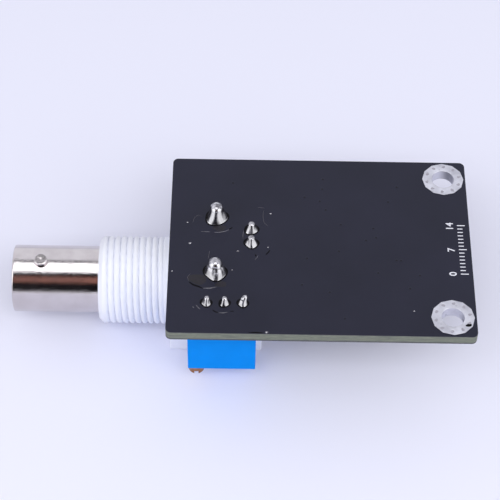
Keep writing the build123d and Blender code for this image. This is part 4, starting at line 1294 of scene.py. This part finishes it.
@dataclass
class SmallParts:
    """The surface-mounted parts on the component face."""

    end_share: float = 0.2
    band_share: float = 0.18
    cover: float = 0.01
    cover_edge: float = 0.03

    def ends(self, node: str, share: float, sides: Sequence[int] = (0, 1)) -> list[Patch]:
        """Cover one or both ends of a part's box.

        Args:
            node: The part's CAD node.
            share: The share of the length that each cover takes.
            sides: 0 for the end at the lower coordinate, 1 for the other.

        Returns:
            One rounded box for each end.
        """
        corners = np.array([tuple(corner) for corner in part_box(node)]) / MM
        low, high = corners.min(axis=0), corners.max(axis=0)
        along = int(np.argmax((high - low)[:2]))
        reach = share * (high - low)[along]
        covers = []
        for side in sides:
            start, end = low - self.cover, high + self.cover
            if side:
                start[along] = high[along] - reach
            else:
                end[along] = low[along] + reach
            covers.append(rounded_box(tuple(start), tuple(end), self.cover_edge, 2))
        return covers

    def build(self, shelf: FinishShelf) -> None:
        """Dress the chips, capacitors, resistors and the lamp."""
        for name in ("opamp", "inverter"):
            shelf.dress("chip_plastic", name + "_body")
            shelf.dress("tinned_wire", name + "_leads")
        tantalums, ceramics = (
            [f"capacitor_{number}" for number in numbers] for numbers in (range(1, 3), range(3, 6))
        )
        resistors = [f"resistor_{number}" for number in range(1, 7)]
        shelf.dress("tantalum_plastic", *tantalums)
        shelf.dress("ceramic_brown", *ceramics)
        shelf.dress("resistor_glaze", *resistors)
        shelf.dress("lamp_resin", "power_lamp")
        chips = ceramics + resistors + ["power_lamp"]
        ends = [cover for node in chips for cover in self.ends(node, self.end_share)]
        make_piece("part_ends", ends, shelf["tinned_wire"])
        bands = [cover for node in tantalums for cover in self.ends(node, self.band_share, (0,))]
        make_piece("tantalum_bands", bands, shelf["tantalum_band"])


# ---- The studio


@dataclass(frozen=True)
class Softbox:
    """One soft lamp: its place round the aim in degrees and millimetres, its size and its power."""

    name: str
    azimuth: float
    elevation: float
    distance: float
    width: float
    height: float
    power: float
    in_metal: bool = True
    on_surfaces: bool = True


@dataclass(frozen=True)
class Card:
    """A curved card that only the metal shows: its light, its ends and its rise in degrees, its distance."""

    name: str
    radiance: Colour
    azimuth: tuple[float, float]
    rise: tuple[float, float]
    distance: float


@dataclass
class Studio:
    """Pale floor, soft lamps, dark and warm cards that only the metal shows, a pale world and the camera."""

    floor_level: float = -16.12
    floor_reach: float = 2500.0
    floor_colour: Colour = srgb(233, 235, 252)
    sky_colour: Colour = srgb(236, 238, 253)
    metal_sky: Colour = (0.97, 0.98, 1.06)
    fill_sky: Colour = (0.57, 0.56, 0.58)
    softboxes: tuple[Softbox, ...] = (
        Softbox("overhead_softbox", -90.0, 89.9, 509.0, 280.0, 270.0, 0.5, True, False),
        Softbox("left_softbox", -150.0, 35.0, 600.0, 450.0, 450.0, 0.84),
        Softbox("right_softbox", -30.0, 35.0, 600.0, 450.0, 450.0, 0.95),
        Softbox("front_softbox", -90.0, 55.0, 600.0, 500.0, 250.0, 1.22, False, True),
    )
    aim: Point = (-30.0, 0.0, -8.8)
    cards: tuple[Card, ...] = (
        Card("dark_card", (0.012, 0.011, 0.013), (-124.0, -62.0), (5.0, 72.0), 620.0),
        Card("warm_card", (0.36, 0.17, 0.14), (-110.0, -74.0), (37.0, 57.0), 560.0),
        Card("dark_strip", (0.012, 0.011, 0.013), (30.0, 150.0), (63.0, 70.0), 620.0),
    )
    camera_place: Point = (-29.175, -165.74, 202.22)
    camera_lens: float = 132.04
    elevation: float = 50.87
    roll: float = 1.17
    yaw: float = -0.34

    def hang(self, name: str, patch: Patch, shader: Shader) -> bpy.types.Object:
        """Put a surface of the studio into the scene.

        Args:
            name: Its name.
            patch: The surface.
            shader: Its finish.

        Returns:
            The new object.
        """
        mesh = bpy.data.meshes.new(name)
        mesh.from_pydata((patch.points * MM).tolist(), [], patch.faces.tolist())
        mesh.materials.append(shader.material)
        thing = bpy.data.objects.new(name, mesh)
        bpy.context.scene.collection.objects.link(thing)
        return thing

    def build_floor(self) -> None:
        """Lay the floor on which the block stands."""
        corners = np.array([(-1, -1, 0), (1, -1, 0), (1, 1, 0), (-1, 1, 0)]) * self.floor_reach
        shader = Shader("studio_paper")
        shader.set(Base_Color=self.floor_colour, Roughness=0.9, Specular_IOR_Level=0.0)
        self.hang("floor", Patch(corners, np.array([[0, 1, 2, 3]])).moved((0, 0, self.floor_level)), shader)

    def place_round(self, azimuth: np.ndarray, elevation: np.ndarray, distance: float) -> Grids:
        """Find a place on a ball round the aim.

        Args:
            azimuth: Degrees from +X towards +Y.
            elevation: Degrees over the horizon.
            distance: The ball's radius.

        Returns:
            Its three coordinates.
        """
        turn, lift = np.radians(azimuth), np.radians(elevation)
        return (
            self.aim[0] + distance * np.cos(lift) * np.cos(turn),
            self.aim[1] + distance * np.cos(lift) * np.sin(turn),
            self.aim[2] + distance * np.sin(lift),
        )

    def build_card(self, card: Card) -> None:
        """Hang one card, a piece of a ball round the aim.

        Args:
            card: The card.
        """
        def shape(u: np.ndarray, v: np.ndarray) -> Grids:
            """Go from end to end with u and upwards with v."""
            turn = card.azimuth[0] + (card.azimuth[1] - card.azimuth[0]) * u
            return self.place_round(turn, card.rise[0] + (card.rise[1] - card.rise[0]) * v, card.distance)

        shader = Shader(card.name)
        shader.set(Base_Color=(0.0, 0.0, 0.0), Specular_IOR_Level=0.0)
        shader.set(Emission_Color=card.radiance, Emission_Strength=1.0)
        thing = self.hang(card.name, surface(shape, 24, 16, wrap_u=False), shader)
        thing.visible_camera = thing.visible_diffuse = thing.visible_shadow = False

    def build_lamps(self) -> None:
        """Hang the softboxes round the object, each turned to the aim."""
        for box in self.softboxes:
            data = bpy.data.lights.new(box.name, "AREA")
            data.shape = "RECTANGLE"
            data.size, data.size_y = box.width * MM, box.height * MM
            data.energy = box.power
            lamp = bpy.data.objects.new(box.name, data)
            place = Vector(self.place_round(box.azimuth, box.elevation, box.distance))
            lamp.location = place * MM
            away = place - Vector(self.aim)
            lamp.rotation_euler = away.to_track_quat("Z", "Y").to_euler()
            lamp.visible_glossy = box.in_metal
            lamp.visible_diffuse = box.on_surfaces
            bpy.context.scene.collection.objects.link(lamp)

    def build_world(self) -> None:
        """Show a pale backdrop to the camera, a white one to the metal, and a weaker one to the rest."""
        world = bpy.data.worlds.new("studio")
        world.use_nodes = True
        tree = world.node_tree
        tree.nodes.clear()
        nodes = Nodes(tree)
        ray = nodes.node("LightPath").outputs
        colour = nodes.mix(ray["Is Glossy Ray"], self.fill_sky, self.metal_sky)
        colour = nodes.mix(ray["Is Camera Ray"], colour, self.sky_colour)
        background = nodes.node("Background", {"Color": colour})
        nodes.node("OutputWorld", {"Surface": background.outputs[0]})
        bpy.context.scene.world = world

    def place_camera(self) -> None:
        """Stand the camera where the photograph was taken from."""
        lift, turn, tilt = (math.radians(a) for a in (self.elevation, self.yaw, self.roll))
        back = Vector(
            (math.sin(turn) * math.cos(lift), -math.cos(turn) * math.cos(lift), math.sin(lift))
        )
        right = Vector((math.cos(turn), math.sin(turn), 0.0))
        up = back.cross(right)
        rolled_right = math.cos(tilt) * right + math.sin(tilt) * up
        rolled_up = math.cos(tilt) * up - math.sin(tilt) * right
        data = bpy.data.cameras.new("camera")
        data.lens = self.camera_lens
        data.sensor_width = 36.0
        data.clip_start = 0.01
        camera = bpy.data.objects.new("camera", data)
        place = Vector(self.camera_place) * MM
        columns = (rolled_right, rolled_up, back, place)
        rows = [[column[row] for column in columns] for row in range(3)] + [[0, 0, 0, 1]]
        camera.matrix_world = Matrix(rows)
        bpy.context.scene.collection.objects.link(camera)
        bpy.context.scene.camera = camera

    def build(self) -> None:
        """Set up the whole studio."""
        bpy.context.scene.view_settings.view_transform = "Standard"
        self.place_camera()
        self.build_floor()
        self.build_world()
        self.build_lamps()
        for card in self.cards:
            self.build_card(card)


def main() -> None:
    """Build the studio and every sub-assembly."""
    logging.basicConfig(level=logging.INFO, format="%(message)s")
    Studio().build()
    shelf = FinishShelf()
    for assembly in (CircuitBoard(), Joints(), Jack(), Trimmer(), Socket(), SmallParts()):
        logging.info("building %s", type(assembly).__name__)
        assembly.build(shelf)


if __name__ == "__main__":
    main()
